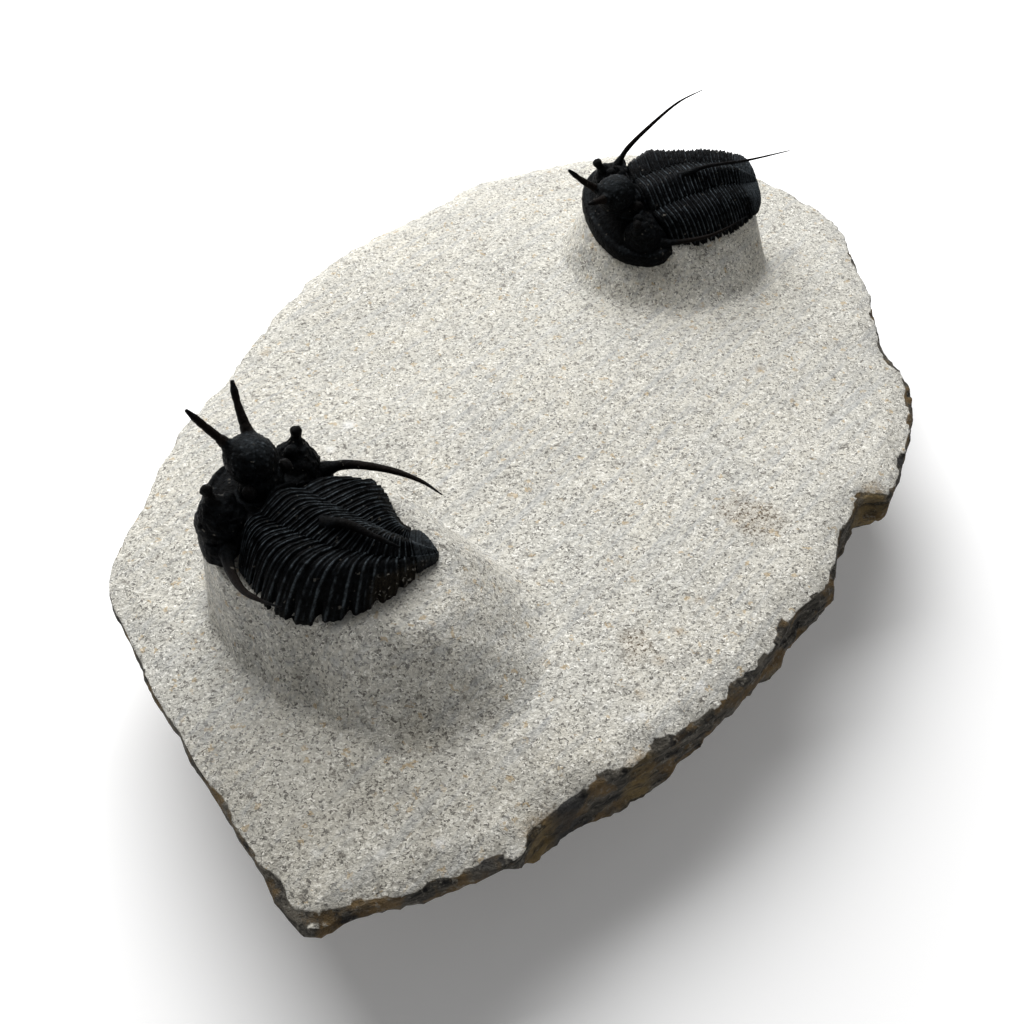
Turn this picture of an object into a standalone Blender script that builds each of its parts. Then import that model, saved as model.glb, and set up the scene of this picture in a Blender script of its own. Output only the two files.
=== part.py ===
"""A pair of spiny trilobites on bosses of their own limestone slab.

Lengths are in millimetres until a mesh is made, which turns them into metres.
Each trilobite is modelled in a frame of its own: X to the front of its head, Y to
its left, Z up, with its flat underside at Z = 0. The slab's frame has its origin
under the middle of the slab, on the flat base.
"""
import math

import bpy
import numpy as np
from mathutils import Matrix, Vector
from mathutils.geometry import delaunay_2d_cdt

MM = 0.001
GAP = 0.3

# Slab
SLAB_THICK = 16.0
RIM_DROP = 0.6
RIM_WIDTH = 2.6
UNDULATION = 0.35
BASE_SCALE = 0.74
LEDGE_SCALE = 0.88
RIM_STEP = 2.9
GRID_STEP = 5.2
BOSS_WALL_SHARES = (0.3, 0.62, 1.0)
RIM = [
    (-18.0, -56.5), (-14.1, -55.2), (-7.0, -52.8), (-2.8, -51.5), (-1.4, -49.5), (2.0, -46.2),
    (8.6, -41.6), (13.8, -37.8), (19.1, -32.2), (22.6, -27.3), (26.0, -24.6), (28.0, -18.5),
    (31.1, -13.6), (34.2, -12.6), (36.9, -6.6), (40.0, 1.4), (40.4, 6.1), (39.3, 12.3),
    (39.6, 21.8), (39.4, 34.6), (38.2, 39.9), (31.3, 48.5), (22.1, 55.2), (12.2, 57.5),
    (0.7, 53.4), (-8.9, 47.8), (-14.0, 41.0), (-24.7, 30.6), (-30.5, 19.2), (-34.9, 5.0),
    (-37.6, -3.5), (-39.1, -13.9), (-40.1, -23.1), (-36.4, -31.1), (-29.9, -40.7), (-22.9, -50.7),
]
# Height of the upright broken edge at compass angles around the slab, in degrees
BREAK_ANGLES = (-108, -101, -94, -91, -78, -74, -68, -61, -56, -50, -45, -40, -30, -24, -19, 90, 180, 252)
BREAK_HEIGHTS = (1.2, 2.2, 0.7, 4.6, 6.0, 4.0, 2.2, 2.8, 4.8, 4.6, 2.5, 3.2, 5.6, 5.4, 2.0, 2.0, 2.0, 1.2)

# How far the broken side strays from the outline at each level, and where its random numbers start
SIDE_ROUGHNESS = (0.006, 0.006, 0.012, 0.004)
SIDE_SEED = 7

# Bosses: radii every 30 degrees from the slab's +X, of the flat seat and of the foot
BOSS_STEPS = 12
BOSS_DIRECTIONS = 30

# Head, measured on the animal
NECK_X = 2.8
HEAD_CENTRE = 3.6
HEAD_FRONT = 5.75
HEAD_HINGE = 2.0
BULB_AT = (6.4, 0.0, 4.7)
BULB_RADII = (2.25, 2.15, 2.15)
NAPE_AT = (5.0, 0.0, 2.9)
NAPE_RADII = (1.6, 2.2, 1.7)
BEAD_AT = (4.5, 2.1, 3.9)
BEAD_RADIUS = 0.62
EYE_FOOT = (4.9, 4.4, 1.4)
EYE_SHARES = (0.0, 0.35, 0.6, 0.8, 0.88, 0.96, 1.03, 1.08)
EYE_RADII = (1.9, 1.4, 0.95, 0.5, 0.48, 0.56, 0.5, 0.25)
HORN_RADII = (0.5, 0.42, 0.36, 0.34, 0.26, 0.1)
SPINE_STATIONS = (0.0, 0.3, 1.0)
CHEEK_SPINE_RADII = (0.75, 0.4, 0.07)
SHIELD_EDGE = 0.7
SHIELD_DOME = 2.0
BORDER_RAISE = 0.35
BORDER_DITCH = 0.25
NAPE_RING = 4.0
NAPE_RING_HALF_WIDTH = 2.7

# Thorax and tail, measured along the back from the neck joint
SEGMENTS = 12
PITCH_FRONT = 1.22
PITCH_REAR = 0.78
TAIL_LENGTH = 2.3
RIDGE = 0.22
TAIL_RIDGE = 0.12
TOOTH = 0.32
SWEEP = 0.9
EDGE_HEIGHT = 0.35
FURROW_DEPTH = 1.25
FURROW_SHARE = 0.42
RIB_SWELL = 0.22
PLEURA_BEND = 4.2
LOBE_LIMIT = 0.6
# Where points lie across the middle lobe, and across the ribs beside it
LOBE_SHARES = (0.0, 0.4, 0.75, 1.0)
RIB_SHARES = (0.3, 0.58, 0.76, 0.9, 1.0)
BACK_SPINE_RADII = (0.7, 0.44, 0.08)
THORAX_LENGTH = SEGMENTS * (PITCH_FRONT + PITCH_REAR) / 2
BODY_LENGTH = THORAX_LENGTH + TAIL_LENGTH
BEND_POWER = 1.5
WIDTH_STATIONS = (0.0, 1.4, 3.2, 6.0, 8.5, 10.5, 12.0)
HALF_WIDTHS = (5.6, 6.1, 6.7, 6.6, 6.0, 5.2, 4.4)
# Where along the back each specimen's lost margins are stated
WEAR_STATIONS = (0.0, 3.0, 5.0, 7.0, 9.0, 11.0, 13.0)

SPECIMENS = {
    "front": dict(
        place=(-20.35, -27.25, 8.8), heading=145.0, nose_up=9.5, roll=-2.0, size=1.0,
        bend=62.0, lean=0.3, head_tilt=8.0, head_roll=6.5,
        brow=1.85, cheek_left=7.0, cheek_right=6.9, corner_left=(2.3, 6.35), corner_right=(1.9, 6.4),
        worn_left=(0.0, -0.3, -0.6, 0.2, 1.6, 2.7, 3.5), worn_right=(-0.6, -0.6, -0.6, -0.1, 0.8, 1.6, 1.4),
        eye_left=(6.4, 5.3, 5.4), eye_right=(6.1, -5.1, 4.9),
        seat=(11.0, 9.0, 6.8, 7.6, 8.2, 8.4, 8.3, 7.6, 6.6, 7.0, 9.5, 13.5),
        foot=(20.0, 16.0, 13.0, 12.0, 12.0, 12.0, 9.8, 8.8, 9.2, 11.4, 17.5, 21.5),
        horn_left=[(7.4, 0.7, 5.1), (8.4, 1.05, 5.75), (10.0, 1.75, 6.8), (11.4, 2.6, 8.2)],
        horn_right=[(7.3, -0.9, 5.1), (8.2, -1.3, 5.6), (10.0, -1.9, 6.9), (11.4, -2.5, 8.2)],
        back_spine=[(-2.3, 0.2, 4.0), (-3.9, -0.4, 4.9), (-6.0, -1.1, 4.5), (-8.2, -2.0, 3.8)],
        cheek_spine_left=[(3.3, 5.6, 1.0), (1.3, 7.3, 1.6), (-1.0, 8.6, 2.7), (-3.0, 9.1, 4.0),
            (-5.1, 9.2, 5.4)],
        cheek_spine_right=[(3.4, -5.8, 1.2), (1.5, -6.9, 3.0), (-2.0, -7.4, 5.2), (-5.0, -7.6, 6.4),
            (-7.4, -7.2, 7.2)],
    ),
    "back": dict(
        place=(14.9, 29.15, 7.3), heading=200.0, nose_up=-9.0, roll=-16.5, size=1.01,
        bend=-14.0, lean=0.0, head_tilt=0.0, head_roll=0.0,
        brow=2.25, cheek_left=7.7, cheek_right=7.9, corner_left=(1.9, 7.2), corner_right=(1.7, 7.5),
        worn_left=(0.0, 0.0, 0.0, 0.0, 0.0, 0.0, 0.0), worn_right=(-1.0, -1.1, 0.3, 0.8, 0.4, 0.0, -0.2),
        eye_left=(6.1, 5.1, 4.9), eye_right=(6.5, -5.1, 4.9),
        seat=(10.2, 9.6, 7.2, 6.0, 6.3, 8.2, 8.5, 8.5, 8.0, 6.6, 6.2, 8.0),
        foot=(13.6, 13.0, 12.0, 12.0, 12.6, 12.6, 12.0, 11.6, 12.0, 11.8, 12.0, 12.8),
        horn_left=[(7.4, 0.7, 5.1), (8.4, 1.05, 5.75), (9.6, 1.7, 6.6), (10.8, 2.5, 7.6)],
        horn_right=[(7.4, -0.7, 5.0), (8.4, -1.05, 5.45), (9.8, -1.8, 6.6), (11.1, -2.6, 8.0)],
        back_spine=[(-1.5, 0.1, 4.0), (-4.5, 0.8, 5.1), (-9.0, 2.1, 5.4), (-13.6, 3.4, 6.2)],
        cheek_spine_left=[(3.5, 5.8, 1.0), (1.3, 7.2, 1.9), (-1.2, 8.5, 3.0), (-3.2, 9.1, 4.1),
            (-5.3, 9.5, 5.5)],
        cheek_spine_right=[(3.6, -6.2, 1.2), (1.6, -7.1, 3.1), (-2.0, -7.6, 5.4), (-5.0, -7.8, 7.0),
            (-7.7, -7.4, 8.1)],
    ),
}


def clear_scene():
    for thing in list(bpy.data.objects):
        bpy.data.objects.remove(thing, do_unlink=True)


def material(name, colour, roughness):
    made = bpy.data.materials.new(name)
    made.use_nodes = True
    shader = made.node_tree.nodes["Principled BSDF"]
    shader.inputs["Base Color"].default_value = (*colour, 1.0)
    shader.inputs["Roughness"].default_value = roughness
    shader.inputs["Metallic"].default_value = 0.0
    return made


def new_object(name, points, faces, finish, parent=None):
    """One closed mesh from points in millimetres."""
    mesh = bpy.data.meshes.new(name)
    mesh.from_pydata([tuple(MM * float(c) for c in p) for p in points], [], faces)
    mesh.materials.append(finish)
    mesh.shade_smooth()
    mesh.set_sharp_from_angle(angle=math.radians(40))
    made = bpy.data.objects.new(name, mesh)
    bpy.context.scene.collection.objects.link(made)
    made.parent = parent
    return made


def smooth_step(x):
    x = np.clip(x, 0.0, 1.0)
    return x * x * (3.0 - 2.0 * x)


def curve_through(points, count, closed=False):
    """Points at even parameters along a Catmull-Rom curve through the given ones."""
    p = np.asarray(points, float)
    if closed:
        p = np.vstack([p[-1:], p, p[:2]])
    else:
        p = np.vstack([2 * p[0] - p[1], p, 2 * p[-1] - p[-2]])
    spans = len(p) - 3
    out = []
    for u in np.linspace(0.0, spans, count, endpoint=not closed):
        i = min(int(u), spans - 1)
        t = u - i
        a, b, c, d = p[i:i + 4]
        out.append(0.5 * (2 * b + (c - a) * t + (2 * a - 5 * b + 4 * c - d) * t * t
                          + (3 * b - 3 * c + d - a) * t ** 3))
    return np.array(out)


def even_steps(points, step):
    """Points at even distances along a closed line."""
    loop = np.vstack([points, points[:1]])
    run = np.concatenate([[0.0], np.cumsum(np.linalg.norm(np.diff(loop, axis=0), axis=1))])
    count = int(round(run[-1] / step))
    at = np.arange(count) * run[-1] / count
    return np.stack([np.interp(at, run, loop[:, k]) for k in range(2)], axis=1)


def bridge(rings, faces, closed=True):
    """Quads between neighbouring rings of vertex numbers."""
    for low, high in zip(rings[:-1], rings[1:]):
        count = len(low)
        for i in range(count if closed else count - 1):
            j = (i + 1) % count
            faces.append((low[i], low[j], high[j], high[i]))


def tube(name, path, radii, sides, finish, parent):
    """A closed round tube along a path, from a blunt root to a fine tip."""
    points = []
    side = None
    for i, centre in enumerate(path):
        ahead = path[min(i + 1, len(path) - 1)] - path[max(i - 1, 0)]
        ahead = ahead / np.linalg.norm(ahead)
        if side is None:
            side = np.cross(ahead, (0.0, 0.0, 1.0))
        side = side - ahead * np.dot(side, ahead)
        side = side / np.linalg.norm(side)
        other = np.cross(ahead, side)
        for k in range(sides):
            turn = 2 * math.pi * k / sides
            points.append(centre + radii[i] * (math.cos(turn) * side + math.sin(turn) * other))
    rings = [[r * sides + k for k in range(sides)] for r in range(len(path))]
    faces = []
    bridge(rings, faces)
    faces.append(tuple(reversed(rings[0])))
    faces.append(tuple(rings[-1]))
    return new_object(name, points, faces, finish, parent)


def ball(name, centre, radii, finish, parent, around=14, rows=8):
    """A closed ellipsoid."""
    points = [(centre[0], centre[1], centre[2] + radii[2])]
    for r in range(1, rows):
        lift = math.pi * r / rows
        for k in range(around):
            turn = 2 * math.pi * k / around
            points.append((centre[0] + radii[0] * math.sin(lift) * math.cos(turn),
                           centre[1] + radii[1] * math.sin(lift) * math.sin(turn),
                           centre[2] + radii[2] * math.cos(lift)))
    points.append((centre[0], centre[1], centre[2] - radii[2]))
    rings = [[1 + r * around + k for k in range(around)] for r in range(rows - 1)]
    faces = []
    for k in range(around):
        j = (k + 1) % around
        faces.append((0, rings[0][k], rings[0][j]))
        faces.append((len(points) - 1, rings[-1][j], rings[-1][k]))
    bridge(rings[::-1], faces)
    return new_object(name, points, faces, finish, parent)


def fuse(body, pieces):
    """Joins closed pieces to a body, and keeps them as hidden cutters."""
    for piece in pieces:
        join = body.modifiers.new("join " + piece.name, "BOOLEAN")
        join.operation = "UNION"
        join.solver = "EXACT"
        join.object = piece
        piece.hide_render = True
        piece.display_type = "WIRE"


# Slab

def seat_matrix(spec):
    """Places a trilobite's own frame in the slab's frame, in millimetres."""
    at = Vector(spec["place"]) + Vector((0.0, 0.0, SLAB_THICK))
    return (Matrix.Translation(at)
            @ Matrix.Rotation(math.radians(spec["heading"]), 4, "Z")
            @ Matrix.Rotation(math.radians(-spec["nose_up"]), 4, "Y")
            @ Matrix.Rotation(math.radians(spec["roll"]), 4, "X"))


def around_boss(radii, turn):
    """A boss's radius in a direction, smooth between its twelve stated radii."""
    table = np.asarray(radii)
    u = np.asarray(turn) * BOSS_STEPS / (2 * math.pi)
    i = np.floor(u).astype(int)
    t = smooth_step(u - i)
    return table[i % BOSS_STEPS] * (1 - t) + table[(i + 1) % BOSS_STEPS] * t


def slab_top(x, y, rim_distance):
    """Height of the worked upper surface, with both bosses."""
    plain = SLAB_THICK + UNDULATION * (np.sin(0.11 * x + 0.07 * y) + 0.6 * np.sin(0.19 * y - 0.09 * x + 1.0))
    plain = plain - RIM_DROP * smooth_step(1.0 - rim_distance / RIM_WIDTH)
    height = plain
    for spec in SPECIMENS.values():
        frame = seat_matrix(spec)
        up = frame.to_3x3() @ Vector((0.0, 0.0, 1.0))
        at = frame.to_translation() - up * GAP
        seat = at.z + (up.x * (at.x - x) + up.y * (at.y - y)) / up.z
        turn = np.arctan2(y - at.y, x - at.x)
        reach = np.hypot(x - at.x, y - at.y)
        inner = around_boss(spec["seat"], turn)
        outer = around_boss(spec["foot"], turn)
        share = 1.0 - smooth_step((reach - inner) / (outer - inner))
        height = height + (seat - plain) * share
    return height


def boss_points(spec):
    """Points of a boss in plan: rings on the seat, down its wall and around its foot."""
    centre = np.array(spec["place"][:2])
    turns = 2 * math.pi * np.arange(BOSS_DIRECTIONS) / BOSS_DIRECTIONS
    inner = around_boss(spec["seat"], turns)
    outer = around_boss(spec["foot"], turns)
    away = np.stack([np.cos(turns), np.sin(turns)], axis=1)
    rings = [inner * 0.5, inner * 0.998]
    rings += [inner + (outer - inner) * share for share in BOSS_WALL_SHARES]
    return np.vstack([centre[None, :]] + [centre + away * ring[:, None] for ring in rings])


def distance_to_line(points, loop):
    """Shortest distance from each point to a closed line."""
    ends = np.roll(loop, -1, axis=0)
    along = ends - loop
    best = np.full(len(points), 1e9)
    for start, step in zip(loop, along):
        t = np.clip((points - start) @ step / (step @ step), 0.0, 1.0)
        best = np.minimum(best, np.linalg.norm(points - start - t[:, None] * step, axis=1))
    return best


def inside_loop(points, loop):
    """True for points inside a closed line, by counting crossings."""
    x, y = points[:, 0], points[:, 1]
    hits = np.zeros(len(points), int)
    for (ax, ay), (bx, by) in zip(loop, np.roll(loop, -1, axis=0)):
        if ay == by:
            continue
        crosses = (ay > y) != (by > y)
        hits += crosses & (x < ax + (bx - ax) * (y - ay) / (by - ay))
    return hits % 2 == 1


def slab_grid(rim):
    """Points inside the slab's outline, close together only where a boss stands."""
    bosses = [boss_points(spec) for spec in SPECIMENS.values()]
    xs = np.arange(-42.0, 42.0, GRID_STEP)
    ys = np.arange(-58.0, 58.0, GRID_STEP * 0.87)
    grid = np.array([(x + (GRID_STEP / 2 if row % 2 else 0.0), y) for row, y in enumerate(ys) for x in xs])
    grid = grid[inside_loop(grid, rim)]
    grid = grid[distance_to_line(grid, rim) > RIM_WIDTH + 1.5]
    for spec in SPECIMENS.values():
        offset = grid - np.array(spec["place"][:2])
        turn = np.arctan2(offset[:, 1], offset[:, 0])
        grid = grid[np.hypot(offset[:, 0], offset[:, 1]) > around_boss(spec["foot"], turn) + 1.5]
    shoulder = rim * (1.0 - RIM_WIDTH / np.linalg.norm(rim, axis=1))[:, None]
    inner = np.vstack([grid, shoulder] + bosses)
    inner = inner[inside_loop(inner, rim)]
    return inner[distance_to_line(inner, rim) > 1.0]


def build_slab(finish):
    """The stone: worked top, upright broken edge, undercut sides and flat base."""
    rim = even_steps(curve_through(RIM, 400, closed=True), RIM_STEP)
    count = len(rim)
    inner = slab_grid(rim)
    flat = np.vstack([rim, inner])
    edges = [(i, (i + 1) % count) for i in range(count)]
    found = delaunay_2d_cdt([Vector(p) for p in flat], edges, [], 1, 1e-6)
    plan = np.array([tuple(p) for p in found[0]])
    heights = slab_top(plan[:, 0], plan[:, 1], distance_to_line(plan, rim))
    points = [(x, y, z) for (x, y), z in zip(plan, heights)]
    faces = [tuple(f) for f in found[2]]
    order = {source: i for i, sources in enumerate(found[3]) for source in sources}
    top_ring = [order[i] for i in range(count)]

    noise = np.random.default_rng(SIDE_SEED).uniform(-1.0, 1.0, (3, count))
    compass = np.degrees(np.arctan2(rim[:, 1], rim[:, 0]))
    compass = np.where(compass < BREAK_ANGLES[0], compass + 360.0, compass)
    drop = np.interp(compass, BREAK_ANGLES, BREAK_HEIGHTS)
    rim_height = heights[top_ring]
    rings = [top_ring]
    levels = (
        (1.006, rim_height - 0.45 * drop),
        (1.0, rim_height - drop),
        (LEDGE_SCALE, 0.7 * (rim_height - drop)),
        (BASE_SCALE, np.zeros(count)),
    )
    for level, (scale, height) in enumerate(levels):
        shake = noise[min(level, 2)] * SIDE_ROUGHNESS[level]
        start = len(points)
        for i in range(count):
            x, y = rim[i] * (scale + shake[i])
            points.append((x, y, height[i]))
        rings.append([start + i for i in range(count)])
    bridge(rings[::-1], faces)
    faces.append(tuple(reversed(rings[-1])))
    return new_object("matrix", points, faces, finish)


# Trilobites

def back_line(spec):
    """The middle line of the back in plan: stations, places and headings."""
    run = np.linspace(-0.6, BODY_LENGTH, 160)
    turn = math.radians(spec["bend"]) * np.clip(run / BODY_LENGTH, 0.0, 1.0) ** BEND_POWER
    step = run[1] - run[0]
    x = NECK_X - run[0] - np.concatenate([[0.0], np.cumsum(np.cos(turn[:-1]) * step)])
    y = -np.concatenate([[0.0], np.cumsum(np.sin(turn[:-1]) * step)])
    return run, x, y, turn


def half_width(run):
    """Half the body's width along the back."""
    beyond = np.clip((run - THORAX_LENGTH) / TAIL_LENGTH, 0.0, 1.0)
    tail = (1.0 - beyond ** 2.2) ** 0.6
    return tail * np.interp(run, WIDTH_STATIONS, HALF_WIDTHS)


def back_height(run):
    """Height of the middle lobe's crest along the back."""
    return np.interp(run, (0.0, 2.0, 5.0, 8.5, 11.0, 12.0, 14.3), (4.0, 4.3, 4.5, 4.1, 3.3, 2.8, 0.9))


def lobe_width(run):
    """Half the width of the middle lobe along the back."""
    return np.interp(run, (0.0, 6.0, 12.0, 14.3), (2.55, 2.3, 1.15, 0.3))


def body_row(spec, line, station, raise_by, tooth):
    """One line of points across the back, from the right edge to the left."""
    run, xs, ys, turns = line
    x = np.interp(station, run, xs)
    y = np.interp(station, run, ys)
    turn = np.interp(station, run, turns)
    full = float(half_width(station))
    crest = float(back_height(station))
    furrow = crest - min(FURROW_DEPTH, FURROW_SHARE * crest)
    edge = min(EDGE_HEIGHT, 0.5 * furrow)
    row = []
    for sign, worn in ((-1, spec["worn_right"]), (1, spec["worn_left"])):
        loss = float(np.interp(station, WEAR_STATIONS, worn))
        width = full - loss * min(1.0, full / HALF_WIDTHS[-1])
        lobe = min(float(lobe_width(station)), LOBE_LIMIT * width)
        half = []
        for share in LOBE_SHARES:
            arch = 0.5 * math.sqrt(1.0 - share * share) + 0.25 * (1.0 + math.cos(math.pi * share))
            z = furrow + (crest - furrow) * arch + raise_by + spec["lean"] * sign * share * lobe
            half.append((share * lobe, z, 0.0))
        for q in RIB_SHARES:
            reach = lobe + (width + (tooth if q == 1.0 else 0.0) - lobe) * q
            z = edge + (furrow - edge) * (1.0 - q ** PLEURA_BEND) + RIB_SWELL * math.sin(math.pi * q)
            z += raise_by * (1.0 - q) + spec["lean"] * sign * reach * (1.0 - q ** 3)
            half.append((reach, z, SWEEP * q * q * min(1.0, width / 6.0)))
        half = half[::-1] if sign < 0 else half[1:]
        for reach, z, back in half:
            px = x - back * math.cos(turn) - sign * reach * math.sin(turn)
            py = y - back * math.sin(turn) + sign * reach * math.cos(turn)
            row.append((px, py, z))
    return row


def segment_stations():
    """Where each segment's ridge and the groove behind it lie along the back."""
    rows = []
    start = 0.0
    for k in range(SEGMENTS):
        pitch = PITCH_FRONT + (PITCH_REAR - PITCH_FRONT) * (k + 0.5) / SEGMENTS
        rows.append((start + 0.45 * pitch, RIDGE, TOOTH))
        start += pitch
        rows.append((start, 0.0, 0.0))
    return rows


def close_rows(rows):
    """A closed solid under rows of points, with a flat underside at Z = 0."""
    across = len(rows[0])
    points = []
    rings = []
    for row in rows:
        start = len(points)
        points += row
        points.append((row[-1][0], row[-1][1], 0.0))
        points.append((row[0][0], row[0][1], 0.0))
        rings.append([start + i for i in range(across + 2)])
    faces = []
    bridge(rings, faces)
    faces.append(tuple(reversed(rings[0])))
    faces.append(tuple(rings[-1]))
    return points, faces


def build_thorax(name, spec, finish, parent):
    """Twelve ridged segments, with the long spine on the sixth."""
    line = back_line(spec)
    rows = [body_row(spec, line, GAP / 2, 0.0, 0.0)]
    stations = segment_stations()
    stations[-1] = (THORAX_LENGTH - GAP / 2, 0.0, 0.0)
    rows += [body_row(spec, line, *station) for station in stations]
    points, faces = close_rows(rows)
    body = new_object(name, points, faces, finish, parent)
    path = curve_through(spec["back_spine"], 9)
    radii = np.interp(np.linspace(0, 1, 9), SPINE_STATIONS, BACK_SPINE_RADII)
    fuse(body, [tube(name + "_spine", path, radii, 6, finish, parent)])
    return body


def build_tail(name, spec, finish, parent):
    """The small tail shield behind the last segment."""
    line = back_line(spec)
    rows = []
    for share in (0.0, 0.22, 0.3, 0.5, 0.58, 0.78, 0.93):
        station = THORAX_LENGTH + GAP / 2 + share * (TAIL_LENGTH - GAP / 2)
        raise_by = TAIL_RIDGE if share in (0.22, 0.5, 0.78) else 0.0
        rows.append(body_row(spec, line, station, raise_by, 0.0))
    points, faces = close_rows(rows)
    return new_object(name, points, faces, finish, parent)


def neck_line(y, spec):
    """Where the thorax begins, at a distance out from the middle."""
    lobe = float(lobe_width(0.0))
    width = float(half_width(0.0)) - np.where(np.asarray(y) > 0.0, spec["worn_left"][0], spec["worn_right"][0])
    share = np.clip((np.abs(y) - lobe) / (width - lobe), 0.0, 1.3)
    return NECK_X - GAP / 2 - SWEEP * share ** 2


def tilt_head(points, spec):
    """Carries points of the head from their own level frame to the way the head is held."""
    tilt = Matrix.Rotation(math.radians(-spec["head_tilt"]), 3, "Y")
    roll = Matrix.Rotation(math.radians(spec["head_roll"]), 3, "X")
    hinge = np.array((NECK_X, 0.0, HEAD_HINGE))
    return (np.atleast_2d(points) - hinge) @ np.array(tilt @ roll).T + hinge


def head_reach(turn, spec):
    """Distance from the head's middle to its edge, in a direction from straight ahead."""
    side = "left" if turn < math.pi else "right"
    cheek = spec["cheek_" + side]
    corner_x, corner_y = spec["corner_" + side]
    c, s = math.cos(turn), abs(math.sin(turn))
    if c >= 0:
        brow = spec["brow"]
        return (abs(c / HEAD_FRONT) ** brow + (s / cheek) ** brow) ** (-1 / brow)
    corner = math.atan2(corner_y, corner_x - HEAD_CENTRE)
    corner_reach = math.hypot(corner_y, corner_x - HEAD_CENTRE)
    angle = math.atan2(s, c)
    if angle <= corner:
        return cheek + (corner_reach - cheek) * (angle - math.pi / 2) / (corner - math.pi / 2)
    across = s if turn < math.pi else -s
    reach = 1.0
    for _ in range(20):
        reach = min((HEAD_CENTRE - float(neck_line(reach * across, spec)) - GAP) / -c, corner_reach)
    return reach


def head_height(x, y, rho):
    """Height of the head shield, with its raised border and the ring at the nape."""
    z = SHIELD_EDGE + SHIELD_DOME * (1.0 - rho ** 2.4)
    z += BORDER_RAISE * math.exp(-((rho - 0.95) / 0.06) ** 2)
    z -= BORDER_DITCH * math.exp(-((rho - 0.8) / 0.07) ** 2)
    arch = math.sqrt(max(0.0, 1.0 - (y / NAPE_RING_HALF_WIDTH) ** 2))
    ring = arch * math.exp(-((x - NECK_X - 0.5) / 0.75) ** 2)
    return max(z, NAPE_RING * ring)


def build_shield(name, spec, finish, parent):
    """The head shield: a domed half disc with a flat underside."""
    directions = 40
    shares = (0.25, 0.45, 0.62, 0.75, 0.84, 0.92, 1.0)
    level = [(HEAD_CENTRE, 0.0, head_height(HEAD_CENTRE, 0.0, 0.0))]
    for rho in shares:
        for k in range(directions):
            turn = 2 * math.pi * k / directions
            reach = rho * head_reach(turn, spec)
            x = HEAD_CENTRE + reach * math.cos(turn)
            y = reach * math.sin(turn)
            level.append((x, y, head_height(x, y, rho)))
    points = tilt_head(level, spec)
    points[:, 0] = np.maximum(points[:, 0], neck_line(points[:, 1], spec) + GAP)
    points[:, 2] = np.maximum(points[:, 2], EDGE_HEIGHT)
    edge = points[-directions:].copy()
    edge[:, 2] = 0.0
    points = np.vstack([points, edge])
    rings = [[1 + r * directions + k for k in range(directions)] for r in range(len(shares) + 1)]
    faces = [(0, rings[0][k], rings[0][(k + 1) % directions]) for k in range(directions)]
    bridge(rings[::-1], faces)
    faces.append(tuple(reversed(rings[-1])))
    return new_object(name, points, faces, finish, parent)


def build_head(name, spec, finish, parent):
    """Head shield, swollen glabella, beads, eye stalks, horns and cheek spines."""
    body = build_shield(name, spec, finish, parent)
    bulb = tilt_head(BULB_AT, spec)[0]
    nape = tilt_head(NAPE_AT, spec)[0]
    parts = [ball(name + "_bulb", bulb, BULB_RADII, finish, parent, 14, 9),
             ball(name + "_nape", nape, NAPE_RADII, finish, parent, 10, 6)]
    shares = np.array(EYE_SHARES)
    spine_radii = np.interp(np.linspace(0, 1, 9), SPINE_STATIONS, CHEEK_SPINE_RADII)
    for side, sign in (("left", 1), ("right", -1)):
        mirror = np.array((1.0, sign, 1.0))
        bead = tilt_head(mirror * BEAD_AT, spec)[0]
        parts.append(ball(f"{name}_bead_{side}", bead, (BEAD_RADIUS,) * 3, finish, parent, 8, 5))
        foot, tip = mirror * EYE_FOOT, np.array(spec["eye_" + side])
        path = tilt_head(foot + shares[:, None] * (tip - foot), spec)
        parts.append(tube(f"{name}_eye_{side}", path, EYE_RADII, 8, finish, parent))
        path = tilt_head(curve_through(spec["horn_" + side], 6), spec)
        parts.append(tube(f"{name}_horn_{side}", path, HORN_RADII, 6, finish, parent))
        path = tilt_head(curve_through(spec["cheek_spine_" + side], 9), spec)
        parts.append(tube(f"{name}_cheek_{side}", path, spine_radii, 6, finish, parent))
    fuse(body, parts)
    return body


def build_trilobite(name, spec, finish):
    """One animal, carried by an empty that stands on its boss."""
    seat = bpy.data.objects.new(name + "_seat", None)
    bpy.context.scene.collection.objects.link(seat)
    frame = seat_matrix(spec)
    frame.translation *= MM
    seat.matrix_world = frame @ Matrix.Scale(spec["size"], 4)
    build_head(name + "_cephalon", spec, finish, seat)
    build_thorax(name + "_thorax", spec, finish, seat)
    build_tail(name + "_pygidium", spec, finish, seat)


def main():
    clear_scene()
    stone = material("limestone", (0.61, 0.59, 0.55), 0.9)
    shell = material("black calcite", (0.012, 0.013, 0.016), 0.45)
    build_slab(stone)
    for name, spec in SPECIMENS.items():
        build_trilobite(name, spec, shell)


main()
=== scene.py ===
"""The looks of a pair of spiny trilobites on bosses of their own limestone slab.

Lengths are in millimetres until a mesh is made, which turns them into metres. Each
trilobite is modelled in a frame of its own: X to the front of its head, Y to its left,
Z up, with the stone that it stands on at about Z = 0.
"""
import itertools
import math

import bpy
import numpy as np
from mathutils import Matrix, Vector
from mathutils.geometry import delaunay_2d_cdt
from mathutils.kdtree import KDTree


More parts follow.
